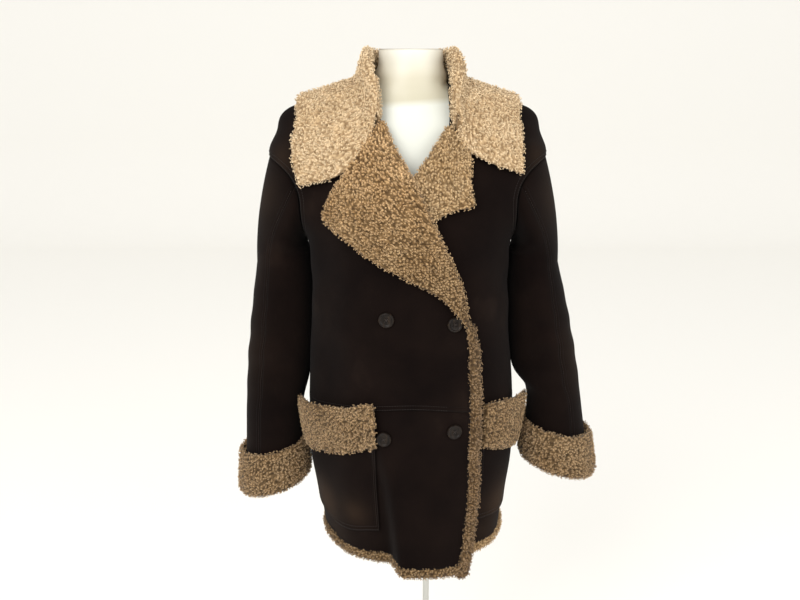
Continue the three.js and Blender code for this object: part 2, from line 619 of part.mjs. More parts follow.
const COLLAR_LINES = [0, 0.1, 0.2, 0.3, 0.42, 0.54, 0.66, 0.78, 0.9];
const collarUs = [...COLLAR_LINES, 1, ...[...COLLAR_LINES].reverse().map((u) => 2 - u)].map((u) => u / 2);
const collarVs = [0, 0.1, 0.2, 0.25, 0.29, 0.34, 0.38, 0.44, 0.5, 0.56, 0.65, 0.76, 0.88, 1];
add(coat, "collar", "wool", sheet(collarUs, collarVs, (u, v) => collarMiddle(2 * u, v), WOOL));

// Wool turned out along the right front's edge and round the hem
const EDGE_SECTION = [
  { out: -6.5, along: 1.2 },
  { out: -6, along: 11 },
  { out: -3.5, along: 17 },
  { out: 0.5, along: 18 },
  { out: 2.8, along: 13 },
  { out: 2.5, along: 4 },
  { out: 1, along: 1.2 },
];
const EDGE_ROWS = [600, 650, 700, 744, 800, 860, 920, 980, 1010, 1040];
const placeEdge = (z, out, along) => {
  const narrow = mix(1, 0.8, ease((z - 985) / 50)); // slimmer where it runs in under the lapel
  return onFront("right", column(RIGHT_EDGE, "x", z) + along * narrow, z, out);
};
add(coat, "front_edge_wool", "wool", band(EDGE_ROWS, EDGE_SECTION, placeEdge));
const HEM_SECTION = [
  { out: -6.8, along: 0.4 },
  { out: -7.2, along: 9 },
  { out: -4, along: 15 },
  { out: 0.5, along: 16 },
  { out: 2.6, along: 10 },
  { out: 1.8, along: 0.4 },
];
const rightHem = angleAtX(column(RIGHT_EDGE, "x", HEM_Z) - 1.2, HEM_Z);
const leftHem = angleAtX(-18, HEM_Z);
const HEMS = {
  right_hem_wool: (t) => mix(degrees(-89.8), rightHem, t),
  left_hem_wool: (t) => mix(leftHem, degrees(89.8), t),
  back_hem_wool: (t) => mix(degrees(90.2), degrees(269.8), t),
};
for (const [name, turn] of Object.entries(HEMS)) {
  const place = (t, out, along) => onPanel(name.split("_")[0], turn(t), HEM_Z - along, out);
  add(coat, name, "wool", band(range(16), HEM_SECTION, place));
}

// Pockets: a suede patch, and over its top a turned-out band, by angle from the front
const POCKETS = {
  right: [
    { angle: 77, top: 860, bottom: 672, bandTop: 873, bandBottom: 798, rise: 7 },
    { angle: 64, top: 863, bottom: 662, bandTop: 878, bandBottom: 796, rise: 5 },
    { angle: 50, top: 870, bottom: 657, bandTop: 886, bandBottom: 806, rise: 3 },
    { angle: 36, top: 878, bottom: 663, bandTop: 897, bandBottom: 820, rise: 2 },
    { angle: 28, top: 884, bottom: 668, bandTop: 908, bandBottom: 830, rise: 2 },
    { angle: 21, top: 888, bottom: 670, bandTop: 914, bandBottom: 836, rise: 3 },
  ],
  left: [
    { angle: 40, top: 876, bottom: 674, bandTop: 897, bandBottom: 822, rise: 1 },
    { angle: 50, top: 871, bottom: 672, bandTop: 893, bandBottom: 812, rise: 1 },
    { angle: 60, top: 866, bottom: 670, bandTop: 888, bandBottom: 802, rise: 3 },
    { angle: 70, top: 862, bottom: 672, bandTop: 882, bandBottom: 794, rise: 7 },
    { angle: 80, top: 860, bottom: 674, bandTop: 876, bandBottom: 792, rise: 12 },
  ],
};
const PATCH = 2.6; // patch pocket's wall
const PATCH_GAP = { right: 1.3, left: 0.9 }; // under the patch
const BAND_GAP = 0.6; // between the patch and its band
const BAND_ROUND = 2; // the band is thinner along its upper and lower rims
for (const side of ["right", "left"]) {
  const rows = POCKETS[side];
  const sign = side === "right" ? -1 : 1;
  const ks = rows.map((_, i) => i);
  const place = (k, z, out) => onPanel(side, degrees(sign * rows[k].angle), z, out);
  const off = PATCH_GAP[side];
  const patch = (out) => (k, v) => place(k, mix(rows[k].bottom, rows[k].top, v), out);
  add(coat, `${side}_pocket`, "suede", wall(ks, range(5), patch(PATCH + off), patch(off)));
  const flap = (out) => (k, v) => {
    const thinner = out > 0 && (v === 0 || v === 1) ? BAND_ROUND : 0;
    const seat = off + PATCH + BAND_GAP + rows[k].rise * v;
    return place(k, mix(rows[k].bandBottom, rows[k].bandTop, v), seat + out - thinner);
  };
  add(coat, `${side}_pocket_band`, "wool", wall(ks, [0, 0.1, 0.4, 0.7, 0.92, 1], flap(WOOL), flap(0)));
}

// Buttons lie on the right front; seat is how far each stands off the smooth surface
const BUTTONS = [
  { name: "upper_outer", x: -42.5, z: 1057, seat: 0 },
  { name: "upper_edge", x: 66, z: 1048, seat: -0.2 },
  { name: "lower_outer", x: -47.5, z: 853, seat: 1.6 },
  { name: "lower_edge", x: 68, z: 864, seat: 0.7 },
];
for (const { name, x, z, seat } of BUTTONS) {
  const base = onFront("right", x, z, seat);
  const axis = onFront("right", x, z, seat + 1).sub(base).normalize();
  const geometry = new THREE.CylinderGeometry(BUTTON_RADIUS - 1, BUTTON_RADIUS, BUTTON_THICKNESS, 20);
  geometry.translate(0, BUTTON_THICKNESS / 2, 0);
  geometry.applyQuaternion(new THREE.Quaternion().setFromUnitVectors(new THREE.Vector3(0, 1, 0), axis));
  geometry.translate(base.x, base.y, base.z);
  add(coat, `button_${name}`, "horn", geometry);
}

// The dress form, kept just inside the coat where the coat rests on it
const FORM_TOP_INSIDE = 1420; // above this the form's neck stands free of the coat
const FORM_GAP = 8.4; // from the coat's outside at the same height, which leaves 1.4 inside the wall
const FORM_GAP_ABOVE = 4.4; // from the coat's outside a step higher, for the sloping shoulders
const FORM_STEP = 9;
function coatRadius(angle, z) {
  const at = sectionPoint(BODY, angle, z);
  return Math.hypot(at.x - column(BODY, "lean", z), at.y);
}
function formRing(z) {
  return range(32).slice(0, -1).map((t) => {
    const angle = 2 * Math.PI * t;
    const middle = new THREE.Vector3(column(BODY, "lean", Math.max(z, FORM_LEAN_Z)), 0, z);
    const own = sectionPoint(FORM, angle, z).sub(middle);
    const above = coatRadius(angle, Math.min(z + FORM_STEP, FORM_TOP_INSIDE + 5)) - FORM_GAP_ABOVE;
    const room = z > FORM_TOP_INSIDE ? Infinity : Math.min(coatRadius(angle, z) - FORM_GAP, above);
    return middle.addScaledVector(own.clone().normalize(), Math.min(own.length(), room));
  });
}
const FORM_LEVELS = [
  800, 830, 870, 910, 950, 1000, 1050, 1100, 1140, 1180, 1220, 1260, 1300, 1330, 1350, 1366,
  1380, 1390, 1398, 1404, 1410, 1416, 1422, 1432, 1445, 1460, 1470,
];
add(coat, "dress_form", "form", stack(FORM_LEVELS.map(formRing)));

// The stand: a round foot with a hub, and the pole up to the form's flat underside
const POLE = { radius: 6, bottom: 36.3, top: FORM_LEVELS[0] - 0.3 };
const FOOT = [
  { radius: 0, z: 0 },
  { radius: 188, z: 0 },
  { radius: 190, z: 2 },
  { radius: 190, z: 7 },
  { radius: 187, z: 9 },
  { radius: 0, z: 9 },
];
const HUB = [
  { radius: 0, z: 9.3 },
  { radius: 25, z: 9.3 },
  { radius: 25, z: 11 },
  { radius: 19, z: 15 },
  { radius: 17, z: 34 },
  { radius: 14, z: 36 },
  { radius: 0, z: 36 },
];
// A solid turned round the pole's own line from a profile that starts and ends on it.
function turned(profile, sides) {
  const outline = profile.map(({ radius, z }) => new THREE.Vector2(radius, z));
  return new THREE.LatheGeometry(outline, sides).rotateX(Math.PI / 2);
}
const pole = new THREE.CylinderGeometry(POLE.radius, POLE.radius, POLE.top - POLE.bottom, 20);
pole.rotateX(Math.PI / 2).translate(0, 0, (POLE.top + POLE.bottom) / 2);
add(stand, "stand_foot", "steel", turned(FOOT, 48));
add(stand, "stand_hub", "steel", turned(HUB, 24));
add(stand, "stand_pole", "steel", pole);

coat.position.x = AXIS_X;
const whole = new THREE.Group();
whole.name = "shearling_coat_on_form";
whole.add(coat, stand);
export default whole;
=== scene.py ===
"""A double-breasted shearling coat on a limbless dress form, dressed for one photograph.

Everything is worked out in millimetres from the coat's own middle line, and the coat faces -Y. Each mesh is
turned into metres beside the stand's pole when it is made. Angles on the body are measured from the front.
"""
import math

import bpy
import numpy as np
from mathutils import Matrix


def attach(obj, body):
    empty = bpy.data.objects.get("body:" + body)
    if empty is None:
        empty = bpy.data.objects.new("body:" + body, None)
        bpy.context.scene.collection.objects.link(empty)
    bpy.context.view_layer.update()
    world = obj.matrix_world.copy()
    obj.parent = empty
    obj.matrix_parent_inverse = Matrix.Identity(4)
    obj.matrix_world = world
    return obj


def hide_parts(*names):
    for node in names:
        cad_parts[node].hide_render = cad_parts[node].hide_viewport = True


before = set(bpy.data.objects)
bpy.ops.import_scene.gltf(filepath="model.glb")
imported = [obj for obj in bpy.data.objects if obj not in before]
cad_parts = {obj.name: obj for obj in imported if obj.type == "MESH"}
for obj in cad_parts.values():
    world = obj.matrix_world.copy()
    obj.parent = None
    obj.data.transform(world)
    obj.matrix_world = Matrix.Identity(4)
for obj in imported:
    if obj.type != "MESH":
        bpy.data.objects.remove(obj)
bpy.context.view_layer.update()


# Fronts: suede panels 7 mm thick with soft creases, cut at the armholes and the low waist seam.
# The tables give the coat's level sections and edges; a table is a dict of columns, read on a smooth curve.

def table(names, rows):
    """A dict of named columns from rows of numbers."""
    values = np.array(rows, float)
    return {name: values[:, i] for i, name in enumerate(names.split())}


def column(rows, name, at):
    """Cubic Hermite curve through (first column, name), slope (y[i+1] - y[i-1]) / (x[i+1] - x[i-1])."""
    x = rows[next(iter(rows))]
    y = rows[name]
    if x[0] > x[-1]:
        x = x[::-1]
        y = y[::-1]
    slope = np.empty_like(y)
    slope[1:-1] = (y[2:] - y[:-2]) / (x[2:] - x[:-2])
    slope[0] = (y[1] - y[0]) / (x[1] - x[0])
    slope[-1] = (y[-1] - y[-2]) / (x[-1] - x[-2])
    at = np.asarray(at, float)
    i = np.clip(np.searchsorted(x, at) - 1, 0, len(x) - 2)
    span = x[i + 1] - x[i]
    t = np.clip((at - x[i]) / span, 0, 1)
    a = (2 * t**3 - 3 * t**2 + 1) * y[i] + (t**3 - 2 * t**2 + t) * span * slope[i]
    return a + (3 * t**2 - 2 * t**3) * y[i + 1] + (t**3 - t**2) * span * slope[i + 1]


def ease(t):
    """3t^2 - 2t^3 on 0..1."""
    t = np.clip(t, 0, 1)
    return t * t * (3 - 2 * t)


def mix(a, b, t):
    """a + (b - a) t."""
    return a + (b - a) * t


def unit(v):
    """v / |v|."""
    return v / np.maximum(np.linalg.norm(v, axis=-1, keepdims=True), 1e-9)


BODY = table("z half front back square lean", [
    (600, 162, 150, 138, 2.4, 3),
    (700, 173, 156, 146, 2.4, 1),
    (760, 181, 161, 150, 2.4, 0),
    (860, 185, 165, 155, 2.4, -1),
    (1000, 176, 166, 150, 2.4, -3),
    (1100, 172, 164, 143, 2.35, -4),
    (1160, 178, 158, 140, 2.3, -5),
    (1225, 218, 146, 134, 2.15, -7),
    (1300, 236, 124, 122, 2.0, -8),
    (1335, 224, 106, 110, 1.85, -7),
    (1374, 204, 88, 92, 1.4, -6),
    (1398, 128, 80, 86, 1.5, -5),
    (1416, 75, 76, 80, 1.9, -4),
    (1440, 60, 66, 70, 2.0, -3),
])
RIGHT_EDGE = table("z x", [
    (600, 78), (670, 87.5), (742, 93), (850, 95), (940, 93.5), (1000, 90), (1040, 84), (1080, 76),
    (1120, 62), (1223, 15), (1263, -4), (1289, -19), (1323, -38), (1359, -51), (1414, -64),
])
LEFT_EDGE = table("z x", [
    (600, -66), (1000, -70), (1150, -45), (1269, 8), (1314, 38), (1352, 58), (1414, 60),
])
RIDGE = table("z start wide", [
    (600, -38, 22), (760, -58, 26), (860, -92, 46), (960, -150, 130), (1200, -150, 110), (1420, -150, 110),
])
SKIN = 7.0
WOOL = 8.5
POLE_X = 30.0
HEM_Z = 622.0
WAIST_SIDE_Z = 866.0
WAIST_FRONT_Z = 904.0
LEVEL_Z = 960.0
SEAM_GAP = 0.4
SIDE_GAP = 0.13
STITCH_ROWS = (2.2, 8.4)
NECK_Z = 1414.0
UNDERARM_Z = 1160.0
ARMHOLE_TOP_Z = 1296.0
ARMHOLE_REACH = 27.0


def section(rows, angle, z):
    """Level section: r = (|sin a / half|^n + |cos a / depth|^n)^(-1/n) about the leaning middle."""
    angle, z = np.broadcast_arrays(np.asarray(angle, float), np.asarray(z, float))
    half = column(rows, "half", z)
    depth = np.where(np.cos(angle) > 0, column(rows, "front", z), column(rows, "back", z))
    n = column(rows, "square", z)
    s = np.sin(angle)
    c = np.cos(angle)
    r = (np.abs(s / half) ** n + np.abs(c / depth) ** n) ** (-1 / n)
    lean = column(BODY, "lean", z if rows is BODY else np.maximum(z, 1000))
    return np.stack([lean + r * s, -r * c, z], -1)


def on_coat(angle, z, out=0.0, forward=0.0):
    """A point of the coat's surface moved out along its normal, then straight forward."""
    along = section(BODY, angle + 0.02, z) - section(BODY, angle - 0.02, z)
    up = section(BODY, angle, z + 2) - section(BODY, angle, z - 2)
    point = section(BODY, angle, z) + unit(np.cross(along, up)) * np.asarray(out)[..., None]
    point[..., 1] -= forward
    return point


def angle_at_x(x, z):
    """Angle at which the section stands x to the side: y = depth (1 - |x / half|^n)^(1/n)."""
    half = column(BODY, "half", z)
    depth = column(BODY, "front", z)
    n = column(BODY, "square", z)
    dx = x - column(BODY, "lean", z)
    y = depth * np.maximum(0, 1 - np.abs(dx / half) ** n) ** (1 / n)
    return np.arctan2(dx, y)


def right_lift(x, z):
    """How far the right front stands off: over the left front and its band, and swung forward at the hem."""
    chest = 1 - ease((z - 1250) / 140)
    ridge = ease((x - column(RIDGE, "start", z)) / column(RIDGE, "wide", z))
    swing = 34 * np.clip((860 - z) / 240, 0, 1) ** 1.4
    return (9 * ease((x + 150) / 50) + (12 + swing) * ridge) * chest


def lift(side, x, z):
    """The right front's extra height; the left front and the back have none."""
    return right_lift(x, z) if side == "right" else np.zeros(np.broadcast(x, z).shape)


def on_front(side, x, z, out):
    """A point of a front panel at x to the side and z up, moved out from the coat's surface."""
    x, z, out = np.broadcast_arrays(x, z, out)
    return on_coat(angle_at_x(x, z), z, out, lift(side, x, z))


def on_panel(side, angle, z, out):
    """The same, by angle round the body."""
    angle, z, out = np.broadcast_arrays(angle, z, out)
    return on_coat(angle, z, out, lift(side, section(BODY, angle, z)[..., 0], z))


def waist_seam(angle):
    """Height of the seam, which dips towards the sides as cos(angle)^2."""
    return mix(WAIST_SIDE_Z, WAIST_FRONT_Z, np.cos(angle) ** 2)


def armhole(z, back):
    """Degrees from the front to the armhole's rim: 90 -+ reach sqrt(1 - h^2), h -1 below to 1 above."""
    middle = (UNDERARM_Z + ARMHOLE_TOP_Z) / 2
    half = (ARMHOLE_TOP_Z - UNDERARM_Z) / 2
    s = np.sqrt(np.clip(1 - ((z - middle) / half) ** 2, 0, 1))
    return 90 + (1 if back else -1) * ARMHOLE_REACH * s


dice = np.random.default_rng(20260)


def outward(points, faces):
    """The faces, turned round if the volume, the sum of a . (b x c) over the triangles, is less than 0."""
    volume = 0.0
    for k in range(1, faces.shape[1] - 1):
        a, b, c = points[faces[:, 0]], points[faces[:, k]], points[faces[:, k + 1]]
        volume += np.sum(a * np.cross(b, c))
    return faces if volume > 0 else faces[:, ::-1]


def add(name, points, faces, slot, look, replaces=(), data=None):
    """A smooth mesh object from points in millimetres and an (n, 4) or (n, 3) array of faces."""
    points = np.asarray(points, np.float64).reshape(-1, 3) * 0.001
    points[:, 0] -= POLE_X * 0.001
    faces = np.asarray(faces, np.int32)
    mesh = bpy.data.meshes.new(name)
    count, size = faces.shape
    mesh.vertices.add(len(points))
    mesh.vertices.foreach_set("co", points.astype(np.float32).ravel())
    mesh.loops.add(count * size)
    mesh.loops.foreach_set("vertex_index", faces.ravel())
    mesh.polygons.add(count)
    mesh.polygons.foreach_set("loop_start", np.arange(count, dtype=np.int32) * size)
    mesh.update(calc_edges=True)
    mesh.polygons.foreach_set("use_smooth", np.full(count, True))
    for key, values in (data or {}).items():
        marks = mesh.attributes.new(key, "FLOAT", "POINT")
        marks.data.foreach_set("value", np.asarray(values, np.float32).ravel())
    obj = bpy.data.objects.new(name, mesh)
    bpy.context.scene.collection.objects.link(obj)
    mesh.materials.append(look)
    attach(obj, "root")
    if replaces:
        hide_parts(*replaces)
    return obj


def grid_faces(nu, nv, round_u=False, round_v=False):
    """Four-sided faces of a grid of nu by nv points; round_u joins the last u to the first, round_v v's."""
    u = np.arange(nu if round_u else nu - 1)
    v = np.arange(nv if round_v else nv - 1)
    a, b = np.meshgrid(u, v, indexing="ij")
    c = (a + 1) % nu
    d = (b + 1) % nv
    return np.stack([a * nv + b, c * nv + b, c * nv + d, a * nv + d], -1).reshape(-1, 4)


def shell(outer, inner):
    """Points and faces of a thin closed shell between two grids of points."""
    nu, nv = outer.shape[:2]
    n = nu * nv
    faces = [grid_faces(nu, nv), grid_faces(nu, nv)[:, ::-1] + n]
    ids = np.arange(n).reshape(nu, nv)
    for line, flip in ((ids[:, 0], True), (ids[:, -1], False), (ids[0], False), (ids[-1], True)):
        rim = np.stack([line[:-1], line[1:], line[1:] + n, line[:-1] + n], -1)
        faces.append(rim[:, ::-1] if flip else rim)
    points = np.concatenate([outer.reshape(-1, 3), inner.reshape(-1, 3)])
    return points, outward(points, np.concatenate(faces))


def even(path, step, low=0.0, high=1.0):
    """Values of a path's parameter that lie about step apart along it."""
    t = np.linspace(low, high, 400)
    length = np.concatenate([[0], np.cumsum(np.linalg.norm(np.diff(path(t), axis=0), axis=1))])
    count = max(2, int(round(length[-1] / step)) + 1)
    return np.interp(np.linspace(0, length[-1], count), length, t)


def nearest(points, lines):
    """Distance from each point to the nearest one of some lines, each a row of close points."""
    flat = points.reshape(-1, 3)
    goal = np.concatenate(lines)
    best = np.full(len(flat), 99.0)
    for i in range(0, len(goal), 64):
        gap = np.linalg.norm(flat[:, None] - goal[None, i:i + 64], axis=-1)
        best = np.minimum(best, gap.min(1))
    return best


def stitches(name, paths, pitch=4.2, long=3.0, thick=0.42):
    """Topstitching: slim six-pointed grains of thread laid end to end along each path."""
    spots = []
    runs = []
    for path in paths:
        length = np.concatenate([[0], np.cumsum(np.linalg.norm(np.diff(path, axis=0), axis=1))])
        at = np.arange(pitch / 2, length[-1] - pitch / 2, pitch)
        spots.append(np.stack([np.interp(at, length, path[:, k]) for k in range(3)], -1))
        ahead = np.stack([np.interp(at + 0.8, length, path[:, k]) for k in range(3)], -1)
        runs.append(unit(ahead - spots[-1]))
    spot = np.concatenate(spots)
    run = np.concatenate(runs)
    wide = unit(np.cross(run, np.array([0.31, 0.2, 0.93])))
    deep = np.cross(run, wide)
    corners = [spot - run * long / 2, spot + wide * thick, spot + deep * thick, spot - wide * thick,
               spot - deep * thick, spot + run * long / 2]
    points = np.stack(corners, 1).reshape(-1, 3)
    one = np.array([(0, 2, 1), (0, 3, 2), (0, 4, 3), (0, 1, 4), (5, 1, 2), (5, 2, 3), (5, 3, 4), (5, 4, 1)])
    faces = (one[None] + 6 * np.arange(len(spot))[:, None, None]).reshape(-1, 3)
    add(name, points, outward(points, faces), "suede", thread)


def material(name, values):
    """A new material with plain values on its Principled shader, its node tree and that shader's inputs."""
    made = bpy.data.materials.new(name)
    made.use_nodes = True
    skin = made.node_tree.nodes["Principled BSDF"].inputs
    for key, value in values.items():
        skin[key].default_value = value
    return made, made.node_tree, skin


def node(tree, kind, inputs, **settings):
    """The outputs of a new node; each input is given a plain value or the socket that is linked to it."""
    made = tree.nodes.new("ShaderNode" + kind)
    for key, value in settings.items():
        setattr(made, key, value)
    for key, value in inputs.items():
        if hasattr(value, "is_output"):
            tree.links.new(value, made.inputs[key])
        else:
            made.inputs[key].default_value = value
    return made.outputs


def object_place(tree):
    """Object coordinates."""
    return node(tree, "TexCoord", {})["Object"]


def attribute(tree, name):
    """The value of a named vertex attribute."""
    return node(tree, "Attribute", {}, attribute_name=name)["Fac"]


def noise(tree, scale, detail, vector):
    """Soft noise, 0 to 1."""
    return node(tree, "TexNoise", {"Scale": scale, "Detail": detail, "Vector": vector})["Fac"]


def ramp(tree, fac, stops):
    """A colour ramp through (position, colour) stops."""
    made = tree.nodes.new("ShaderNodeValToRGB")
    points = made.color_ramp.elements
    while len(points) < len(stops):
        points.new(0.5)
    for point, (position, colour) in zip(points, stops):
        point.position = position
        point.color = (*colour, 1)
    tree.links.new(fac, made.inputs["Fac"])
    return made.outputs["Color"]


def blend(tree, fac, a, b, how="MIX"):
    """Colour a where fac is 0, and b, or a times b, where it is 1."""
    return node(tree, "Mix", {0: fac, 6: a, 7: b}, data_type="RGBA", blend_type=how)[2]


# The suede's colour wanders softly and is paler where it is worn; grooves run where the seam attribute, a
# distance of 0 to 12 mm, passes a row of topstitching.
suede, tree, skin = material("dark suede", {
    "Roughness": 0.9, "Specular IOR Level": 0.04, "Sheen Weight": 0.02,
})
base = ramp(tree, noise(tree, 11, 6, object_place(tree)), [
    (0.34, (0.0032, 0.0016, 0.0013)), (0.62, (0.006, 0.0032, 0.0024)), (0.8, (0.0125, 0.0073, 0.0052)),
])
tree.links.new(blend(tree, attribute(tree, "wear"), base, (0.034, 0.02, 0.012, 1)), skin["Base Color"])
rows = ramp(tree, attribute(tree, "seam"), [
    (0.12, (1, 1, 1)), (0.183, (0, 0, 0)), (0.25, (1, 1, 1)),
    (0.63, (1, 1, 1)), (0.7, (0, 0, 0)), (0.77, (1, 1, 1)),
])
groove = node(tree, "Bump", {"Strength": 0.6, "Distance": 0.0015, "Height": rows})["Normal"]
nap = noise(tree, 900, 3, object_place(tree))
grain = node(tree, "Bump", {"Strength": 0.4, "Distance": 0.0006, "Height": nap, "Normal": groove})["Normal"]
tree.links.new(grain, skin["Normal"])
thread, tree, skin = material("dark thread", {"Base Color": (0.02, 0.012, 0.008, 1), "Roughness": 0.6})


def creases(angle, z):
    """Small waves of the leather: drag lines below the armholes and soft folds falling from the waist."""
    a = np.degrees(angle)
    side = np.exp(-(((np.abs(a) - 66) / 16) ** 2)) * np.exp(-(((z - 1090) / 70) ** 2))
    drag = 2.2 * side * np.sin((z + np.abs(a) * 1.6) / 13.0)
    low = np.clip((900 - z) / 250, 0, 1)
    fall = 1.6 * low * np.sin(a / 7.5 + 0.6 * np.sin(z / 70))
    chest = 1.3 * np.sin(z / 34 + a / 11) * np.exp(-(((z - 1000) / 60) ** 2))
    shoulder = np.exp(-(((z - 1330) / 30) ** 2)) * np.exp(-(((np.abs(a) - 72) / 12) ** 2))
    return drag + fall + chest + 1.5 * shoulder * np.sin(z / 6 + a / 9)


def upper_levels(step):
    """Heights from the waist seam to the neck, closer together at the armhole's ends and the shoulder."""
    parts = [
        (WAIST_SIDE_Z, UNDERARM_Z, step), (UNDERARM_Z, UNDERARM_Z + 4, 1),
        (UNDERARM_Z + 4, ARMHOLE_TOP_Z - 3, step * 0.8), (ARMHOLE_TOP_Z - 3, ARMHOLE_TOP_Z, 1),
        (ARMHOLE_TOP_Z, 1385, step * 0.6), (1385, NECK_Z, step * 0.35),
    ]
    return np.concatenate([np.arange(a, b, s) for a, b, s in parts] + [[NECK_Z]])


def seamed(angle, level, lower, share):
    """Heights of a panel's grid: its rows follow the waist seam at that end and are level further off."""
    seam = waist_seam(angle)
    if lower:
        return mix(HEM_Z, seam - SEAM_GAP, share)
    low = mix(seam + SEAM_GAP, LEVEL_Z, np.clip((level - WAIST_SIDE_Z) / (LEVEL_Z - WAIST_SIDE_Z), 0, 1))
    return np.where(level < LEVEL_Z, low, level + 0 * angle)


def holed(level, lower):
    """Where a row of an upper panel is cut by the armhole."""
    return (level > UNDERARM_Z) & (level < ARMHOLE_TOP_Z) & (not lower)


def front_grid(side, lower, step):
    """Angles and heights of one front's grid, from its edge to the side seam or armhole."""
    sign = -1 if side == "right" else 1
    edge = RIGHT_EDGE if side == "right" else LEFT_EDGE
    v = np.linspace(0, 1, int(282 / step) + 1)
    level = mix(HEM_Z, WAIST_FRONT_Z, v) if lower else upper_levels(step)
    start = level if lower else np.maximum(level, WAIST_FRONT_Z)
    first = angle_at_x(column(edge, "x", start), start)
    last = np.radians(sign * (np.where(holed(level, lower), armhole(level, False), 90) - SIDE_GAP))
    angle = mix(first[None], last[None], np.linspace(0, 1, int(300 / step))[:, None])
    return angle, seamed(angle, level[None], lower, v[None])


def armhole_line(beyond):
    """The armhole's rim on both sides of the body, some way outside it."""
    t = np.linspace(0, 2 * np.pi, 500)
    middle = (UNDERARM_Z + ARMHOLE_TOP_Z) / 2
    z = middle - ((ARMHOLE_TOP_Z - UNDERARM_Z) / 2 + beyond) * np.cos(t)
    turn = np.radians(90 - (ARMHOLE_REACH + beyond / 3.1) * np.sin(t))
    return [on_coat(sign * turn, z, 0.35 + creases(turn, z) * 0.8) for sign in (-1, 1)]


def seam_marks(points, lines):
    """The seam attribute: distance to the nearest line over 12 mm, or 1 all over where there is no line."""
    return np.clip(nearest(points, lines) / 12, 0, 1) if lines else np.ones(len(points))


def wear_marks(points, spots):
    """The wear attribute: 1 at each worn spot, falling off over its radius as exp(-d^2)."""
    flat = points.reshape(-1, 3)
    total = np.zeros(len(flat))
    for x, y, z, radius, amount in spots:
        total += amount * np.exp(-(np.linalg.norm(flat - (x, y, z), axis=1) / radius) ** 2)
    return np.clip(total, 0, 1)


def suede_sheet(node_name, points, faces, lines, worn):
    """A suede piece in its CAD node's place, marked beside its lines of stitching and at its worn spots."""
    data = {"seam": seam_marks(points, lines), "wear": wear_marks(points, worn)}
    piece = add(node_name + "_suede", points, faces, "suede", suede, [node_name], data)


CUTS = {
    "right": (("upper", False, (0.32, 0.55), 0.16), ("lower", True, (0.42, 0.27), 0.103)),
    "left": (("upper", False, (0.29, 0.55), 0.145), ("lower", True, (0.37, 0.27), 0.092)),
}
seam_turn = np.radians(np.linspace(-180, 180, 1400))
for side in ("right", "left"):
    sign = -1 if side == "right" else 1
    for part, lower, flat, area in CUTS[side]:
        angle, z = front_grid(side, lower, 5.5)
        wave = creases(angle, z)
        outer = on_panel(side, angle, z, wave)
        points, faces = shell(outer, on_panel(side, angle, z, wave * 0.6 - SKIN))
        lines = [on_panel(side, seam_turn, waist_seam(seam_turn), 0.0)] + armhole_line(0)
        worn = [(sign * 214, -60, 1296, 30, 0.35), (sign * 150, -110, 640, 40, 0.3)]
        suede_sheet(f"{side}_front_{part}", points, faces, [] if lower else lines, worn)


# Back: an upper and a lower panel, each in one width between the side seams.
# They have the same creases as the fronts, and the waist seam runs on round them.

def back_grid(lower, step):
    """Angles and heights of the back's grid, from one side seam or armhole to the other."""
    level = np.linspace(HEM_Z, WAIST_SIDE_Z, int(244 / step) + 1) if lower else upper_levels(step)
    first = np.where(holed(level, lower), armhole(level, True), 90) + SIDE_GAP
    angle = np.radians(mix(first[None], 360 - first[None], np.linspace(0, 1, int(480 / step))[:, None]))
    return angle, seamed(angle, level[None], lower, (level[None] - HEM_Z) / (WAIST_SIDE_Z - HEM_Z))


back_lines = [on_coat(seam_turn, waist_seam(seam_turn))] + armhole_line(0)
for part, lower, flat, area in (("upper", False, (0.52, 0.58), 0.265), ("lower", True, (0.56, 0.26), 0.14)):
    angle, z = back_grid(lower, 7.5)
    wave = creases(angle, z) * 0.7
    points, faces = shell(on_coat(angle, z, wave), on_coat(angle, z, wave * 0.6 - SKIN))
    worn = [(-214, 60, 1296, 30, 0.3), (214, 60, 1296, 30, 0.3)]
    suede_sheet(f"back_{part}", points, faces, [] if lower else back_lines, worn)

waist_rows = []
for beyond in STITCH_ROWS:
    for side, low_turn, high_turn in (("right", -89, 20), ("left", 26, 89), ("back", 91, 269)):
        turn = np.radians(np.linspace(low_turn, high_turn, 500))
        z = waist_seam(turn) + beyond
        waist_rows.append(on_panel(side, turn, z, 0.3 + creases(turn, z) * (0.7 if side == "back" else 1)))
stitches("waist_stitching", waist_rows)
stitches("armhole_stitching", armhole_line(STITCH_ROWS[0]) + armhole_line(STITCH_ROWS[1]))


# Sleeves: two pieces each, from the armhole down to the end that the cuff wraps.
# The head follows a cubic from the armhole's rim to the first level ring.

SLEEVES = {
    "right": table("z outer inner depth forward tilt", [
        (1120, 272, 180, 70, 0, 6),
        (1038, 284, 179, 67, 4, 6),
        (947, 295, 183.8, 65, 9, 8),
        (895, 299, 188.5, 63, 12, 9),
        (846, 302, 199, 62, 14, 10),
        (776, 305, 201, 60, 17, 12),
        (706, 308, 201, 60, 20, 15),
    ]),
    "left": table("z outer inner depth forward tilt", [
        (1120, 256, 173, 70, 0, 6),
        (1045, 275, 172.2, 67, 4, 6),
        (958, 294, 177.8, 65, 9, 8),
        (907, 303, 187, 63, 12, 9),
        (872, 308, 209.5, 62, 14, 10),
        (804, 319, 211.5, 60, 17, 12),
        (742, 328, 213, 60, 20, 15),
    ]),
}
SEAM_TURNS = (112, 255)


def sleeve_ring(side, t, z, out):
    """A tilted ellipse between the sleeve's two sides: x = middle - half cos t, y = -depth sin t."""
    rows = SLEEVES[side]
    t, z, out = np.broadcast_arrays(t, z, out)
    outer = column(rows, "outer", z)
    inner = column(rows, "inner", z)
    x = (outer + inner) / 2 - np.cos(t) * ((outer - inner) / 2 + out)
    y = -column(rows, "forward", z) - np.sin(t) * (column(rows, "depth", z) + out)
    drop = column(rows, "tilt", z) * np.cos(t)
    return np.stack([-x if side == "right" else x, y, z + drop], -1)


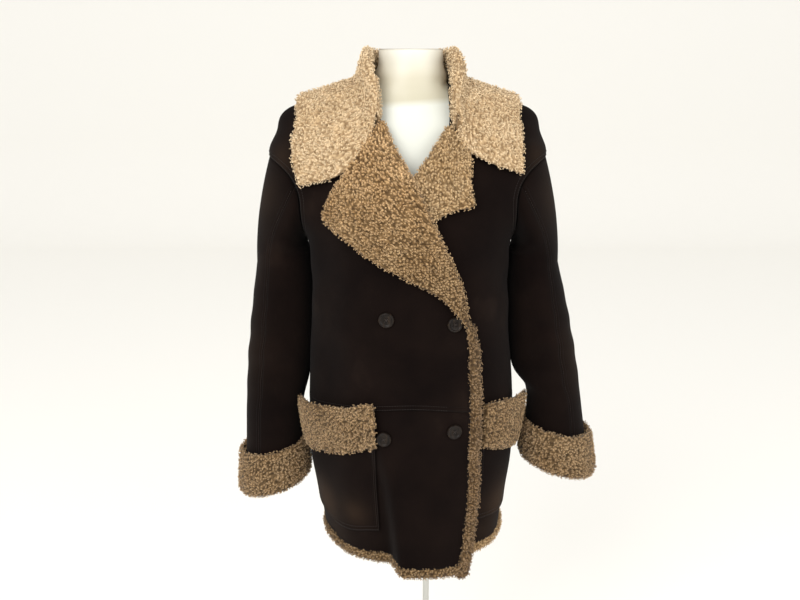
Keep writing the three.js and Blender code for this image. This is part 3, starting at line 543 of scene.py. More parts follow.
def sleeve_creases(t, row):
    """Folds that cross the sleeve, deeper at the elbow, and a soft swell where it hangs beside the body."""
    a = np.degrees(t)
    elbow = 2.4 * np.exp(-(((row - 1.35) / 0.22) ** 2)) * np.sin(row * 46 + np.sin(t) * 1.5)
    elbow = elbow * (0.35 + 0.65 * np.sin(t) ** 2) * (1 - ease((np.cos(t) - 0.2) / 0.6))
    head = np.exp(-(((row - 0.75) / 0.3) ** 2)) * 1.8 * np.sin(row * 17 + t * 2)
    inside = 4.2 * ease((np.cos(t) - 0.35) / 0.5) * np.exp(-(((row - 1.2) / 0.47) ** 4))
    return elbow + inside + head * (1 + np.cos(t)) / 2


def sleeve(side, t, row, out):
    """Row 0..1 is the head, a cubic from the armhole's rim to the first ring; 1..2 goes on to the end."""
    t, row = np.broadcast_arrays(t, row)
    first = SLEEVES[side]["z"][0]
    end = SLEEVES[side]["z"][-1]
    fold = sleeve_creases(t, row)
    low_part = sleeve_ring(side, t, mix(first, end, np.clip(row - 1, 0, 1)), out + fold)
    sign = -1 if side == "right" else 1
    middle = (UNDERARM_Z + ARMHOLE_TOP_Z) / 2
    half = (ARMHOLE_TOP_Z - UNDERARM_Z) / 2 - 2
    angle = np.radians(sign * (90 - (ARMHOLE_REACH - 0.8) * np.sin(t)))
    z0 = middle - half * np.cos(t)
    start = on_coat(angle, z0, 0.0)
    normal = on_coat(angle, z0, 1.0) - start
    low = ((1 + np.cos(t)) / 2)[..., None]
    centre = on_coat(np.radians(sign * 90.0), middle, 0.0)
    down = np.array([0.0, 0.0, -1.0])
    lead = unit(normal * mix(0.3, 1, low) + down * (1 - low))
    goal = sleeve_ring(side, t, first, 0.0)
    c0 = start + lead * mix(62, 7, low)
    c1 = goal - down * mix(62, 14, low)
    s = np.clip(row, 0, 1)[..., None]
    path = (1 - s) ** 3 * start + 3 * (1 - s) ** 2 * s * c0 + 3 * (1 - s) * s * s * c1 + s**3 * goal
    start_in = unit(unit(centre - start) * low - normal * (1 - low))
    goal_in = unit(goal - sleeve_ring(side, t, first, 1.0))
    inward = unit(mix(start_in, goal_in, ease(s)))
    head = path - inward * (out + (fold * ease(row / 0.4))[..., None])
    return np.where((row < 1)[..., None], head, low_part)


for side in ("right", "left"):
    sign = -1 if side == "right" else 1
    row = np.concatenate([np.linspace(0, 1, 36), np.linspace(1, 2, 62)[1:]])
    down = np.linspace(0.05, 2, 600)
    seam_rows = [sleeve(side, np.radians(turn + 0 * down), down, 0.0) for turn in SEAM_TURNS]
    worn = [(sign * 300, -10, 950, 60, 0.25), (sign * 240, -40, 1230, 40, 0.3)]
    front_turn, back_turn = SEAM_TURNS
    for part, start, stop, lines, flat, area in (
        ("top", front_turn, back_turn, seam_rows, (0.19, 0.62), 0.092),
        ("under", back_turn, front_turn + 360, [], (0.21, 0.6), 0.1),
    ):
        t = np.radians(np.linspace(start + 0.2, stop - 0.2, int((stop - start) / 3.6)))[:, None]
        points, faces = shell(sleeve(side, t, row[None], 0.0), sleeve(side, t, row[None], -SKIN))
        suede_sheet(f"{side}_sleeve_{part}", points, faces, lines, worn)
    along = np.linspace(0.06, 1.9, 600)
    stitch_turns = (front_turn + 2.0, back_turn - 2.0)
    stitches(f"{side}_sleeve_stitching",
             [sleeve(side, np.radians(turn + 0 * along), along, 0.3) for turn in stitch_turns])


# Cuffs: wide wool bands turned back over the sleeves' ends.
# Wool is a lumpy ground with one dome to each lock of fleece, and a real curl standing on each.

def cells(points, pitch, seed):
    """The scattered point nearest to each given one: its distance / pitch, random value and number.

    The last result is the next nearest one's distance / pitch. Space is cut into cubes of the pitch, and each
    holds one point, placed by a hash of its whole numbers.
    """
    base = np.floor(points / pitch).astype(np.int64)
    best = np.full(len(points), 9.0)
    second = np.full(len(points), 9.0)
    name = np.zeros(len(points), np.int64)
    for dx in (-1, 0, 1):
        for dy in (-1, 0, 1):
            for dz in (-1, 0, 1):
                c = base + (dx, dy, dz)
                key = (c[:, 0] * 73856093) ^ (c[:, 1] * 19349663) ^ (c[:, 2] * 83492791) ^ seed
                spot = np.empty((len(points), 3))
                for axis in range(3):
                    key = (key * 1103515245 + 12345 + axis * 7919) & 0x7FFFFFFF
                    key = key ^ (key >> 13)
                    spot[:, axis] = (c[:, axis] + 0.12 + 0.76 * (key % 1024) / 1023.0) * pitch
                d = np.linalg.norm(points - spot, axis=1) / pitch
                near = d < best
                second = np.where(near, best, np.minimum(second, d))
                name = np.where(near, key, name)
                best = np.where(near, d, best)
    return best, (name % 997) / 996.0, name, second


def curls(points, normals, size, tone, steps=5):
    """Locks that rise and curl over: radius R (1.05 - 0.62 s), turn 3.6 to 6.2, height H sin(0.72 pi s)."""
    count = len(points)
    s = np.linspace(0, 1, steps)[None, :]
    turn = dice.uniform(3.6, 6.2, (count, 1)) * np.where(dice.random((count, 1)) < 0.5, -1, 1)
    first = dice.uniform(0, 2 * np.pi, (count, 1))
    radius = size[:, None] * dice.uniform(0.34, 0.52, (count, 1)) * (1.05 - 0.62 * s)
    height = size[:, None] * dice.uniform(0.42, 0.8, (count, 1)) * np.sin(0.72 * np.pi * s)
    side = unit(np.cross(normals, unit(dice.normal(size=(count, 3)))))
    other = np.cross(normals, side)
    a = first + turn * s
    path = (
        points[:, None]
        + side[:, None] * (radius * np.cos(a))[..., None]
        + other[:, None] * (radius * np.sin(a))[..., None]
        + normals[:, None] * (height - 0.3)[..., None]
    )
    run = unit(np.gradient(path, axis=1))
    wide = unit(np.cross(run, normals[:, None] + 0.01))
    deep = np.cross(run, wide)
    thick = size[:, None] * 0.19 * (1.0 - 0.55 * s)
    ring = []
    for k in range(3):
        t = 2 * np.pi * k / 3
        ring.append(path + (wide * math.cos(t) + deep * math.sin(t)) * thick[..., None])
    verts = np.stack(ring, 2)
    ids = np.arange(count * steps * 3).reshape(count, steps, 3)
    a = ids[:, :-1, :]
    b = np.roll(ids, -1, 2)[:, :-1, :]
    c = np.roll(ids, -1, 2)[:, 1:, :]
    d = ids[:, 1:, :]
    faces = np.stack([a, b, c, d], -1).reshape(-1, 4)
    # Painted shade: each lock's depth value, which the wool's colour follows, is low and dark near its root
    # and high and light towards its tip.
    rise = mix(0.35, 1.0, np.clip(height / (size[:, None] * 0.7), 0, 1))
    painted_shade_depths = np.repeat(rise[..., None], 3, 2).ravel()
    tones = np.repeat(tone, steps * 3)
    return verts.reshape(-1, 3), faces, painted_shade_depths, tones


def wall_grid(place, t, v, joined=False, turns=4):
    """A wall with rounded rims: place(t, v, layer) gives its back at layer -1 and its front at 1.

    Past an end the front and back close up as M +- H cos(a), while M moves on by |H| sin(a).
    """
    T, V = np.meshgrid(t, v, indexing="ij")
    front = place(T, V, 1.0)
    back = place(T, V, -1.0)
    middle = (front + back) / 2
    half = (front - back) / 2
    for axis in (1,) if joined else (1, 0):
        middle = np.moveaxis(middle, axis, 0)
        half = np.moveaxis(half, axis, 0)
        caps = []
        for end, before in ((0, 1), (-1, -2)):
            ahead = unit(middle[end] - middle[before]) * np.linalg.norm(half[end], axis=-1, keepdims=True)
            turn = np.arange(1, turns + 1) * np.pi / 2 / turns
            moved = np.stack([middle[end] + ahead * math.sin(a) for a in turn])
            shares = [math.cos(a) for a in turn[:-1]] + [0.0]
            closer = np.stack([half[end] * share for share in shares])
            caps.append((moved, closer))
        (m0, h0), (m1, h1) = caps
        middle = np.moveaxis(np.concatenate([m0[::-1], middle, m1]), 0, axis)
        half = np.moveaxis(np.concatenate([h0[::-1], half, h1]), 0, axis)
    nu, nv = middle.shape[:2]
    n = nu * nv
    points = np.concatenate([(middle + half).reshape(-1, 3), (middle - half).reshape(-1, 3)])
    home = np.arange(n).reshape(nu, nv)
    twin = home + n
    twin[:, 0] = home[:, 0]
    twin[:, -1] = home[:, -1]
    if not joined:
        twin[0] = home[0]
        twin[-1] = home[-1]
    whole = np.concatenate([home.ravel(), twin.ravel()])
    one = grid_faces(nu, nv, joined)
    faces = np.concatenate([one, one[:, ::-1] + n])
    used, faces = np.unique(whole[faces], return_inverse=True)
    faces = faces.reshape(-1, 4)
    shown = (used < n).astype(float)
    return points[used], outward(points[used], faces), shown


def lid(ids):
    """Faces straight across a ring with an even number of points."""
    i = np.arange(len(ids) // 2 - 1)
    return np.stack([ids[i], ids[i + 1], ids[len(ids) - 2 - i], ids[len(ids) - 1 - i]], -1)


def tube_grid(place, t, v, joined=False):
    """A closed section carried along a path by place(t, v).

    Free ends draw in to rounded tips: M + (P - M) cos(a), while M moves on by 4 sin(a) mm.
    """
    T, V = np.meshgrid(t, v, indexing="ij")
    grid = place(T, V)
    if not joined:
        middle = grid.mean(1, keepdims=True)
        caps = []
        for end, before in ((0, 1), (-1, -2)):
            ahead = unit(middle[end] - middle[before]) * 4.0
            turns = np.radians((30, 60, 80))
            caps.append(np.stack([
                middle[end] + (grid[end] - middle[end]) * math.cos(a) + ahead * math.sin(a) for a in turns
            ]))
        grid = np.concatenate([caps[0][::-1], grid, caps[1]])
    nu, nv = grid.shape[:2]
    faces = grid_faces(nu, nv, joined, True)
    if not joined:
        faces = np.concatenate([faces, lid(np.arange(nv)), lid((nu - 1) * nv + np.arange(nv))[:, ::-1]])
    points = grid.reshape(-1, 3)
    return points, outward(points, faces), np.ones(len(points))


def capped(grid):
    """Points and faces of a grid whose u goes round a pole, with a lid over each end of v."""
    nu, nv = grid.shape[:2]
    ids = np.arange(nu * nv).reshape(nu, nv)
    faces = np.concatenate([grid_faces(nu, nv, True), lid(ids[:, 0]), lid(ids[:, -1])[:, ::-1]])
    points = grid.reshape(-1, 3)
    return points, outward(points, faces)


def round_section(place_at, step):
    """An even number of evenly spaced steps round a closed section."""
    v = even(place_at, step)[:-1]
    return v if len(v) % 2 == 0 else even(place_at, step * (1 + 1 / len(v)))[:-1]


def fleece(name, built, slot, replaces, look, seed, pitch=4.3, height=2.2):
    """A turned-out wool piece: its ground, with a dome to each lock, and a second piece that is its locks."""
    points, faces, shown = built
    slope = np.cross(points[faces[:, 2]] - points[faces[:, 0]], points[faces[:, 3]] - points[faces[:, 1]])
    normal = np.zeros(points.shape)
    for k in range(4):
        np.add.at(normal, faces[:, k], slope)
    normal = unit(normal)
    best, tone, own, second = cells(points, pitch, seed)
    rise = 0.55 * np.clip(1 - (best / 0.62) ** 2, 0, 1) + 0.45 * np.clip((second - best) * 2.2, 0, 1)
    order = np.lexsort((best, own))
    keep = order[np.unique(own[order], return_index=True)[1]]
    keep = keep[(best[keep] < 0.5) & (shown[keep] > 0.5)]
    points = points + normal * (height * (rise - 0.5) * shown)[:, None]
    # The depth attribute is painted shade: it is low and dark in the hollows between the domes, and at its
    # darkest on all ground that is not shown.
    data = {"depth": 0.1 + 0.72 * rise * shown, "tone": tone}
    ground = add(name, points, faces, slot, look, replaces, data)
    size = pitch * dice.uniform(0.85, 1.2, len(keep))
    verts, quads, painted_shade_depths, tones = curls(points[keep], normal[keep], size, tone[keep])
    locks = add(name + "_locks", verts, quads, slot, look, data={"depth": painted_shade_depths, "tone": tones})


# The tint: each lock's random tone gives its own brightness, darkest to lightest, times a painted light that
# goes from Low, 1.05 m up, to High, 1.32 m up, and then warm patches of noise.
wool_tint = bpy.data.node_groups.new("wool tint", "ShaderNodeTree")
for key, kind in (
    ("Colour", "Color"), ("Darkest", "Float"), ("Lightest", "Float"), ("Low", "Float"), ("High", "Float"),
    ("Warmth", "Color"),
):
    wool_tint.interface.new_socket(key, in_out="INPUT", socket_type="NodeSocket" + kind)
wool_tint.interface.new_socket("Colour", in_out="OUTPUT", socket_type="NodeSocketColor")
given = wool_tint.nodes.new("NodeGroupInput").outputs
level = node(wool_tint, "MapRange", {
    "Value": attribute(wool_tint, "tone"), "To Min": given["Darkest"], "To Max": given["Lightest"],
})["Result"]
painted_height_light = node(wool_tint, "MapRange", {
    "Value": node(wool_tint, "SeparateXYZ", {"Vector": object_place(wool_tint)})["Z"],
    "From Min": 1.05, "From Max": 1.32, "To Min": given["Low"], "To Max": given["High"],
})["Result"]
bright = node(wool_tint, "Math", {0: level, 1: painted_height_light}, operation="MULTIPLY")["Value"]
varied = node(wool_tint, "HueSaturation", {"Value": bright, "Color": given["Colour"]})["Color"]
warm = node(wool_tint, "MapRange", {
    "Value": noise(wool_tint, 22, 3, object_place(wool_tint)), "From Min": 0.35, "From Max": 0.65,
})["Result"]
patchy = blend(wool_tint, warm, (1, 1, 1, 1), given["Warmth"])
tinted = blend(wool_tint, 1.0, varied, patchy, "MULTIPLY")
wool_tint.links.new(tinted, wool_tint.nodes.new("NodeGroupOutput").inputs["Colour"])


def wool_material(name, stops, darkest, lightest, warmth, low=1.0, high=1.0):
    """Fleece coloured by depth, 0 between the locks to 1 at their tips, then tinted; the dark low end is
    painted shade between the locks, and the pale high end partly the tips' own paler colour.

    Each lock's own brightness is from darkest to lightest, times a painted light from low, 1.05 m up, to
    high, 1.32 m up.
    """
    made, tree, hair = material(name, {"Roughness": 0.95, "Specular IOR Level": 0.1, "Sheen Weight": 0.12})
    tint = node(tree, "Group", {
        "Colour": ramp(tree, attribute(tree, "depth"), stops), "Darkest": darkest, "Lightest": lightest,
        "Low": low, "High": high, "Warmth": (*warmth, 1),
    }, node_tree=wool_tint)["Colour"]
    tree.links.new(tint, hair["Base Color"])
    return made


band_wool = wool_material("cuff and pocket wool", [
    (0.1, (0.033, 0.02, 0.009)), (0.48, (0.18, 0.114, 0.056)), (0.88, (0.5, 0.345, 0.19)),
], 0.84, 1.14, (0.86, 0.82, 0.76))
CUFF = 66.0
CUFF_SECTION = table("v out along", [
    (0, 3, 2), (1, 6.5, -4), (2, 11, 0), (3.5, 12, 22), (5.5, 13, 52), (6.5, 11.5, 68), (7.2, 6, 75),
    (8, -3, 75), (8.5, -7.5, 71), (9, -7.6, 66), (9.6, 0.6, 66), (11, 1.6, 34), (12.5, 3, 2),
])
for side in ("right", "left"):

    def cuff_place(t, v):
        """The cuff's section at turn t of the sleeve: out from its wall and down from the cuff's top."""
        top = SLEEVES[side]["z"][-1] + CUFF
        out = column(CUFF_SECTION, "out", v)
        return sleeve_ring(side, t, top - column(CUFF_SECTION, "along", v), out)

    v = round_section(lambda q: cuff_place(np.full(q.shape, 1.5), 12.5 * q), 2.4) * 12.5
    t = np.linspace(0, 2 * np.pi, 151)[:-1]
    points, faces, shown = tube_grid(cuff_place, t, v, True)
    # The part of the section inside the sleeve and under the turned-back cuff is not shown, so it gets no
    # locks and the darkest painted shade.
    shown = shown * np.tile((v < 8.6) | (v > 12.3), len(t))
    fleece(f"{side}_cuff_fleece", (points, faces, shown), "wool", [f"{side}_cuff"], band_wool,
           31)


# Lapels: the fronts' turned-back upper edges, wool side out.
# Each row runs from the front's edge, round the roll, to the lapel's own edge.

def numbered(names, rows):
    """A table whose first column, i, numbers its rows from 0."""
    return table("i " + names, [(i, *row) for i, row in enumerate(rows)])


LAPELS = {
    "right": numbered("roll x z rise", [
        (1044, 78, 1048, 7.6), (1075, 66, 1066, 6), (1106, 40, 1096, 2), (1132, -11, 1124, 1),
        (1158, -62, 1151, 1), (1184, -108, 1184, 2), (1208, -134, 1205, 4), (1234, -137, 1218, 5),
        (1258, -131, 1236, 4), (1284, -122, 1254, 2), (1301, -114, 1266, 1), (1318, -108, 1275, 1),
        (1336, -105, 1279, 1), (1353, -104, 1281, 1),
    ]),
    "left": numbered("roll x z rise", [
        (1196, 12, 1198, 0.6), (1214, 36, 1210, 0.6), (1236, 61, 1223, 1), (1258, 91, 1229, 2),
        (1280, 89, 1250, 2), (1304, 88, 1280, 1), (1346, 90, 1306, 1),
    ]),
}
ROLL = table("u across out back_across back_out", [
    (0, -2.6, -6.8, -1.8, -6.6), (0.3, -8, -4, -1.8, -3.4), (0.55, -10, 2.5, -1.8, 1.6),
    (0.75, -6.5, 8.6, 0, 2.2), (1, 1, 11.1, 1.5, 2.6),
])


def lapel(side, u, row, layer):
    """u -1..0 goes round the roll and 0..1 over the lapel; layer is -1 at its back and 1 at its front."""
    rows = LAPELS[side]
    edge = RIGHT_EDGE if side == "right" else LEFT_EDGE
    u, row = np.broadcast_arrays(u, row)
    share = (layer + 1) / 2
    level = column(rows, "roll", row)
    roll_x = column(edge, "x", level)
    dx = column(rows, "x", row) - roll_x
    dz = column(rows, "z", row) - level
    width = np.hypot(dx, dz)
    hook_across = mix(column(ROLL, "back_across", u + 1), column(ROLL, "across", u + 1), share)
    across = np.where(u < 0, hook_across, mix(1.5 - 0.5 * share, width - 3, np.clip(u, 0, 1)))
    x = roll_x + dx / width * across * np.where(across > 0, 1, np.clip(width / 20, 0.55, 1))
    z = level + dz / width * np.maximum(0, across)
    base = (3 if side == "right" else 1.6) + column(rows, "rise", row) * ease((u - 0.05) / 0.5)
    near = 1 - ease(np.maximum(u, 0) / 0.12)
    flat_out = mix(mix(base, 2.6, near), mix(base + WOOL + 0.2, 11.1, near), share)
    hook_out = mix(column(ROLL, "back_out", u + 1), column(ROLL, "out", u + 1), share)
    return on_front(side, x, z, np.where(u < 0, hook_out, flat_out))


# The lapel wool and the pale wool are copies of one fleece painted with light: the lapel wool is darker low
# down and brighter high up, 0.78 to 1.6 times, as painted light from above, and the pale wool is painted
# paler as if better lit.
lapel_wool_lit_from_above = wool_material("lapel wool", [
    (0.1, (0.036, 0.02, 0.008)), (0.48, (0.19, 0.117, 0.053)), (0.88, (0.5, 0.34, 0.18)),
], 0.84, 1.14, (0.86, 0.82, 0.76), 0.78, 1.6)
pale_lit_wool = wool_material("pale wool", [
    (0.1, (0.08, 0.046, 0.019)), (0.48, (0.32, 0.21, 0.105)), (0.88, (0.7, 0.51, 0.29)),
], 0.86, 1.12, (0.9, 0.86, 0.8))
for side, own_wool, flat, area in (
    ("right", lapel_wool_lit_from_above, (0.16, 0.34), 0.036), ("left", pale_lit_wool, (0.11, 0.2), 0.0145),
):
    last = len(LAPELS[side]["i"]) - 1
    u = even(lambda q: lapel(side, q, last * 0.45, 1), 2.5, -1, 1)
    row = even(lambda q: lapel(side, 0.5, q, 1), 2.5, 0, last)
    built = wall_grid(lambda T, V, layer: lapel(side, V, T, layer), row, u)
    fleece(f"{side}_lapel_fleece", built, "wool", [f"{side}_lapel"], own_wool,
           7, pitch=4.0)


# Collar: one piece of turned-out wool, from the neck seam up, over its roll and down to its edge.
# It lies on the lapels' ends, the shoulders and the back, and its two front ends are squared points.

COLLAR = {
    "right": table("u seam seamZ roll mid midZ edge edgeZ", [
        (0, 27, 1355, 22, 40, 1286, 60.2, 1261), (0.12, 33.6, 1383, 30, 48.5, 1324, 64.2, 1291),
        (0.25, 42.6, 1401, 42, 57, 1353, 69.5, 1324), (0.4, 56, 1414, 50, 73, 1389, 77.5, 1362),
        (0.52, 78, 1414, 55, 88, 1401, 90, 1384), (0.64, 100, 1414, 54, 106, 1398, 108, 1376),
        (0.76, 126, 1414, 52, 128, 1388, 130, 1358), (0.88, 153, 1414, 50, 154, 1381, 155, 1344),
        (1, 180, 1414, 50, 180, 1378, 180, 1338),
    ]),
    "left": table("u seam seamZ roll mid midZ edge edgeZ", [
        (0, 38.4, 1352, 22, 42.5, 1312, 63.5, 1279), (0.12, 43.5, 1383, 30, 52, 1336, 65.5, 1306),
        (0.25, 50.5, 1400, 42, 62, 1362, 71, 1336), (0.4, 62, 1414, 50, 76, 1392, 79.1, 1369),
        (0.52, 80, 1414, 55, 90, 1402, 91, 1385), (0.64, 101, 1414, 54, 106, 1398, 108, 1378),
        (0.76, 126, 1414, 52, 128, 1388, 130, 1358), (0.88, 153, 1414, 50, 154, 1381, 155, 1344),
        (1, 180, 1414, 50, 180, 1378, 180, 1338),
    ]),
}
COLLAR_ROLL = table("v up front neck", [
    (0, 0.05, 5.7, -3), (0.1, 0.34, 6.4, -8), (0.2, 0.68, 7, -12), (0.29, 0.97, 11.8, -7.4),
    (0.38, 0.72, 16.6, -2), (0.46, 0.42, 17.2, 3),
])
COLLAR_LIFT = 9.6


def collar_middle(s, v):
    """The middle of the collar's wall; s runs 0..2 from the right front end round the back to the left.

    v 0..0.38 goes up over the roll, 0.56..1 down over the body, and a cubic bridges the two.
    """
    s, v = np.broadcast_arrays(s, v)
    u = np.where(s < 1, s, 2 - s)
    sign = np.where(s < 1, -1.0, 1.0)

    def at(name):
        """A column of the table of that side."""
        return np.where(s < 1, column(COLLAR["right"], name, u), column(COLLAR["left"], name, u))

    seam_angle = np.radians(sign * at("seam"))
    seam = section(BODY, seam_angle, at("seamZ"))
    share = ease((u - 0.34) / 0.22)
    radial = np.stack([np.sin(seam_angle), -np.cos(seam_angle), np.zeros(s.shape)], -1)

    def roll_point(t):
        """Away from the neck seam and up by a share of the roll's height."""
        away = mix(column(COLLAR_ROLL, "front", t), column(COLLAR_ROLL, "neck", t), share)
        up = np.zeros(s.shape + (3,))
        up[..., 2] = column(COLLAR_ROLL, "up", t) * at("roll")
        return seam + radial * away[..., None] + up

    def fall_point(t):
        """Lying on the coat, with angle and height eased from the seam past the middle to the edge."""
        near = t / 0.5
        far = t * 2 - 1
        turn = mix(mix(at("seam"), at("mid"), near), mix(at("mid"), at("edge"), far), ease(t))
        level = mix(mix(at("seamZ"), at("midZ"), near), mix(at("midZ"), at("edgeZ"), far), ease(t))
        turn = np.radians(sign * turn)
        forward = np.where(sign < 0, right_lift(section(BODY, turn, level)[..., 0], level), 0)
        return on_coat(turn, level, COLLAR_LIFT * np.ones(s.shape), forward)

    one = np.ones(s.shape)
    start = roll_point(0.38 * one)
    lead = start + unit(start - roll_point(0.37 * one)) * 12
    stop = fall_point(0.2 * one)
    tail = stop + unit(stop - fall_point(0.22 * one)) * 12
    t = np.clip((v - 0.38) / 0.18, 0, 1)[..., None]
    bridge = (1 - t) ** 3 * start + 3 * (1 - t) ** 2 * t * lead + 3 * (1 - t) * t * t * tail + t**3 * stop
    low_v = roll_point(np.minimum(v, 0.38))
    high_v = fall_point(mix(0.2, 1, np.clip((v - 0.56) / 0.44, 0, 1)))
    return np.where((v <= 0.38)[..., None], low_v, np.where((v >= 0.56)[..., None], high_v, bridge))


def collar_face(s, v, out):
    """The middle surface moved along its normal."""
    h = 0.004
    along = collar_middle(np.minimum(2, s + 2 * h), v) - collar_middle(np.maximum(0, s - 2 * h), v)
    across = collar_middle(s, np.minimum(1, v + h)) - collar_middle(s, np.maximum(0, v - h))
    return collar_middle(s, v) + unit(np.cross(along, across)) * np.asarray(out)[..., None]


# The collar wool is the same fleece painted paler, as painted light falling on the collar from above.
collar_wool = wool_material("collar wool", [
    (0.08, (0.17, 0.105, 0.05)), (0.42, (0.47, 0.335, 0.195)), (0.85, (0.8, 0.63, 0.41)),
], 0.9, 1.08, (0.93, 0.9, 0.85))
v = even(lambda q: collar_face(np.full(q.shape, 0.5), q, WOOL / 2 + 0 * q), 2.7)
s = even(lambda q: collar_face(q, np.full(q.shape, 0.8), WOOL / 2 + 0 * q), 2.8, 0, 2)
built = wall_grid(lambda S, V, layer: collar_face(S, V, layer * WOOL / 2 + 0 * S), s, v)
fleece("collar_fleece", built, "collar_wool", ["collar"], collar_wool,
       11, pitch=4.7)


# Wool strips: the fleece that shows along the right front's edge and under the hems.
# A round-shouldered section, out from the panel and along past its rim, is carried along each.

def strip(name, place, section_rows, look, replaces, seed):
    """A strip of fleece whose section, (out, along) in mm, is carried by place(t, out, along), t 0..1."""
    rows = numbered("out along", section_rows + section_rows[:1])
    count = len(section_rows)

    def at(t, v):
        """The section's point v at t along the strip."""
        return place(t, column(rows, "out", v), column(rows, "along", v))

    v = round_section(lambda q: at(np.full(q.shape, 0.5), count * q), 1.9) * count
    t = even(lambda q: at(q, np.full(q.shape, 1.0)), 1.9)
    fleece(name, tube_grid(at, t, v), "wool", [replaces], look, seed, pitch=4.1)


def edge_place(t, out, along):
    """Up the right front's edge, with small waves and narrower near the lapel."""
    z = mix(601.0, 1040.0, t)
    wave = 1.2 * np.sin(z / 27) + 0.8 * np.sin(z / 11)
    narrow = mix(1, 0.8, ease((z - 985) / 50))
    return on_front("right", column(RIGHT_EDGE, "x", z) + along * narrow + wave * 0.5, z, out)


# The edge wool is the same fleece painted darker, as painted shade along the front's edge.
shaded_edge_wool = wool_material("edge wool", [
    (0.08, (0.03, 0.017, 0.008)), (0.45, (0.125, 0.077, 0.036)), (0.85, (0.32, 0.21, 0.115)),
], 0.82, 1.16, (0.84, 0.8, 0.74))
strip("front_edge_fleece", edge_place,
      [(1.5, 0.2), (3.6, 5), (4.0, 11), (2.2, 17), (-2, 19.5), (-6, 15), (-7, 6), (-6.6, 0.4)],
      shaded_edge_wool, "front_edge_wool", 5)
right_hem = float(angle_at_x(column(RIGHT_EDGE, "x", HEM_Z) - 1.2, HEM_Z))
left_hem = float(angle_at_x(-18, HEM_Z))
for side, low_turn, high_turn, flat, area in (
    ("right", math.radians(-89.4), right_hem, (0.33, 0.03), 0.0092),
    ("left", left_hem, math.radians(89.4), (0.24, 0.03), 0.0069),
    ("back", math.radians(90.6), math.radians(269.4), (0.43, 0.03), 0.0122),
):
    def hem_place(t, out, along):
        """Round the hem, and down from it."""
        return on_panel(side, mix(low_turn, high_turn, t), HEM_Z - along, out)

    strip(f"{side}_hem_fleece", hem_place,
          [(0.8, 0.2), (3.4, 5), (3.6, 10), (1.2, 16), (-4, 17), (-7.4, 11), (-7.6, 4), (-7, 0.2)],
          lapel_wool_lit_from_above if side == "right" else pale_lit_wool, f"{side}_hem_wool", 9)


# Pockets: a thin suede patch sewn round three sides, under a thick turned-out band of wool.
# The band's outer end stands off, as a pocket that hands go into does.

POCKETS = {
    "right": numbered("angle top bottom bandTop bandBottom rise", [
        (77, 860, 672, 873, 798, 7), (64, 863, 662, 878, 796, 5), (50, 870, 657, 886, 806, 3),
        (36, 878, 663, 897, 820, 2), (28, 884, 668, 908, 830, 2), (21, 888, 670, 914, 836, 3),
    ]),
    "left": numbered("angle top bottom bandTop bandBottom rise", [
        (40, 876, 674, 897, 822, 1), (50, 871, 672, 893, 812, 1), (60, 866, 670, 888, 802, 3),
        (70, 862, 672, 882, 794, 7), (80, 860, 674, 876, 792, 12),
    ]),
}
PATCH = 2.6


def pocket_point(side, k, z, out):
    """A point on the front at row k of the pocket's table."""
    turn = np.radians((-1 if side == "right" else 1) * column(POCKETS[side], "angle", k))
    return on_panel(side, turn, z, out)


for side, patch_flat, patch_area, band_flat, band_area in (
    ("right", (0.2, 0.22), 0.038, (0.1, 0.18), 0.0175),
    ("left", (0.13, 0.21), 0.0255, (0.1, 0.135), 0.0133),
):
    rows = POCKETS[side]
    last = len(rows["i"]) - 1
    sign = -1 if side == "right" else 1
    off = 1.3 if side == "right" else 0.9

    def patch_point(k, v, out):
        """Row k and share v up the patch."""
        level = mix(column(rows, "bottom", k), column(rows, "top", k), v)
        wave = creases(sign * np.radians(column(rows, "angle", k)), level)
        return pocket_point(side, k, level, out + off + wave)

    k, v = np.meshgrid(np.linspace(0, last, 56), np.linspace(0, 1, 56), indexing="ij")
    points, faces = shell(patch_point(k, v, PATCH), patch_point(k, v, 0.0))
    run = np.linspace(0, 1, 400)
    inner_k = last if side == "right" else 0

    def patch_rim(inset):
        """The patch's inner upright and its bottom, each drawn in by inset mm."""
        step_k = inset / 210 * last
        own_k = inner_k - step_k if side == "right" else step_k
        up = inset / 205
        upright = patch_point(np.full(400, own_k), mix(up, 1, run), PATCH + 0.3)
        return [upright, patch_point(mix(own_k, last - inner_k, run), np.full(400, up), PATCH + 0.3)]

    worn = [(sign * 160, -90, 690, 42, 0.75), (sign * 100, -150, 700, 25, 0.4)]
    suede_sheet(f"{side}_pocket", points, faces, patch_rim(0.0), worn)
    stitches(f"{side}_pocket_stitching", patch_rim(STITCH_ROWS[0]) + patch_rim(STITCH_ROWS[1]))

    def band_place(k, v, layer):
        """Row k and share v down the band, in front of the patch; its rise grows towards its top."""
        z = mix(column(rows, "bandTop", k) - 2, column(rows, "bandBottom", k) + 2, v)
        rise = column(rows, "rise", k) * (1 - v)
        return pocket_point(side, k, z, PATCH + off + 0.9 + rise + (layer + 1) / 2 * WOOL)

    k = even(lambda q: band_place(q, np.full(q.shape, 0.5), 1), 2.0, 0.06, last - 0.06)
    v = even(lambda q: band_place(np.full(q.shape, last / 2), q, 1), 2.0)
    fleece(f"{side}_pocket_band_fleece", wall_grid(band_place, k, v), "wool", [f"{side}_pocket_band"],
           band_wool, 13)


# Buttons: dark horn with a raised rim and four holes, sewn to the right front with crossed thread.
# They take the places of the four plain discs.

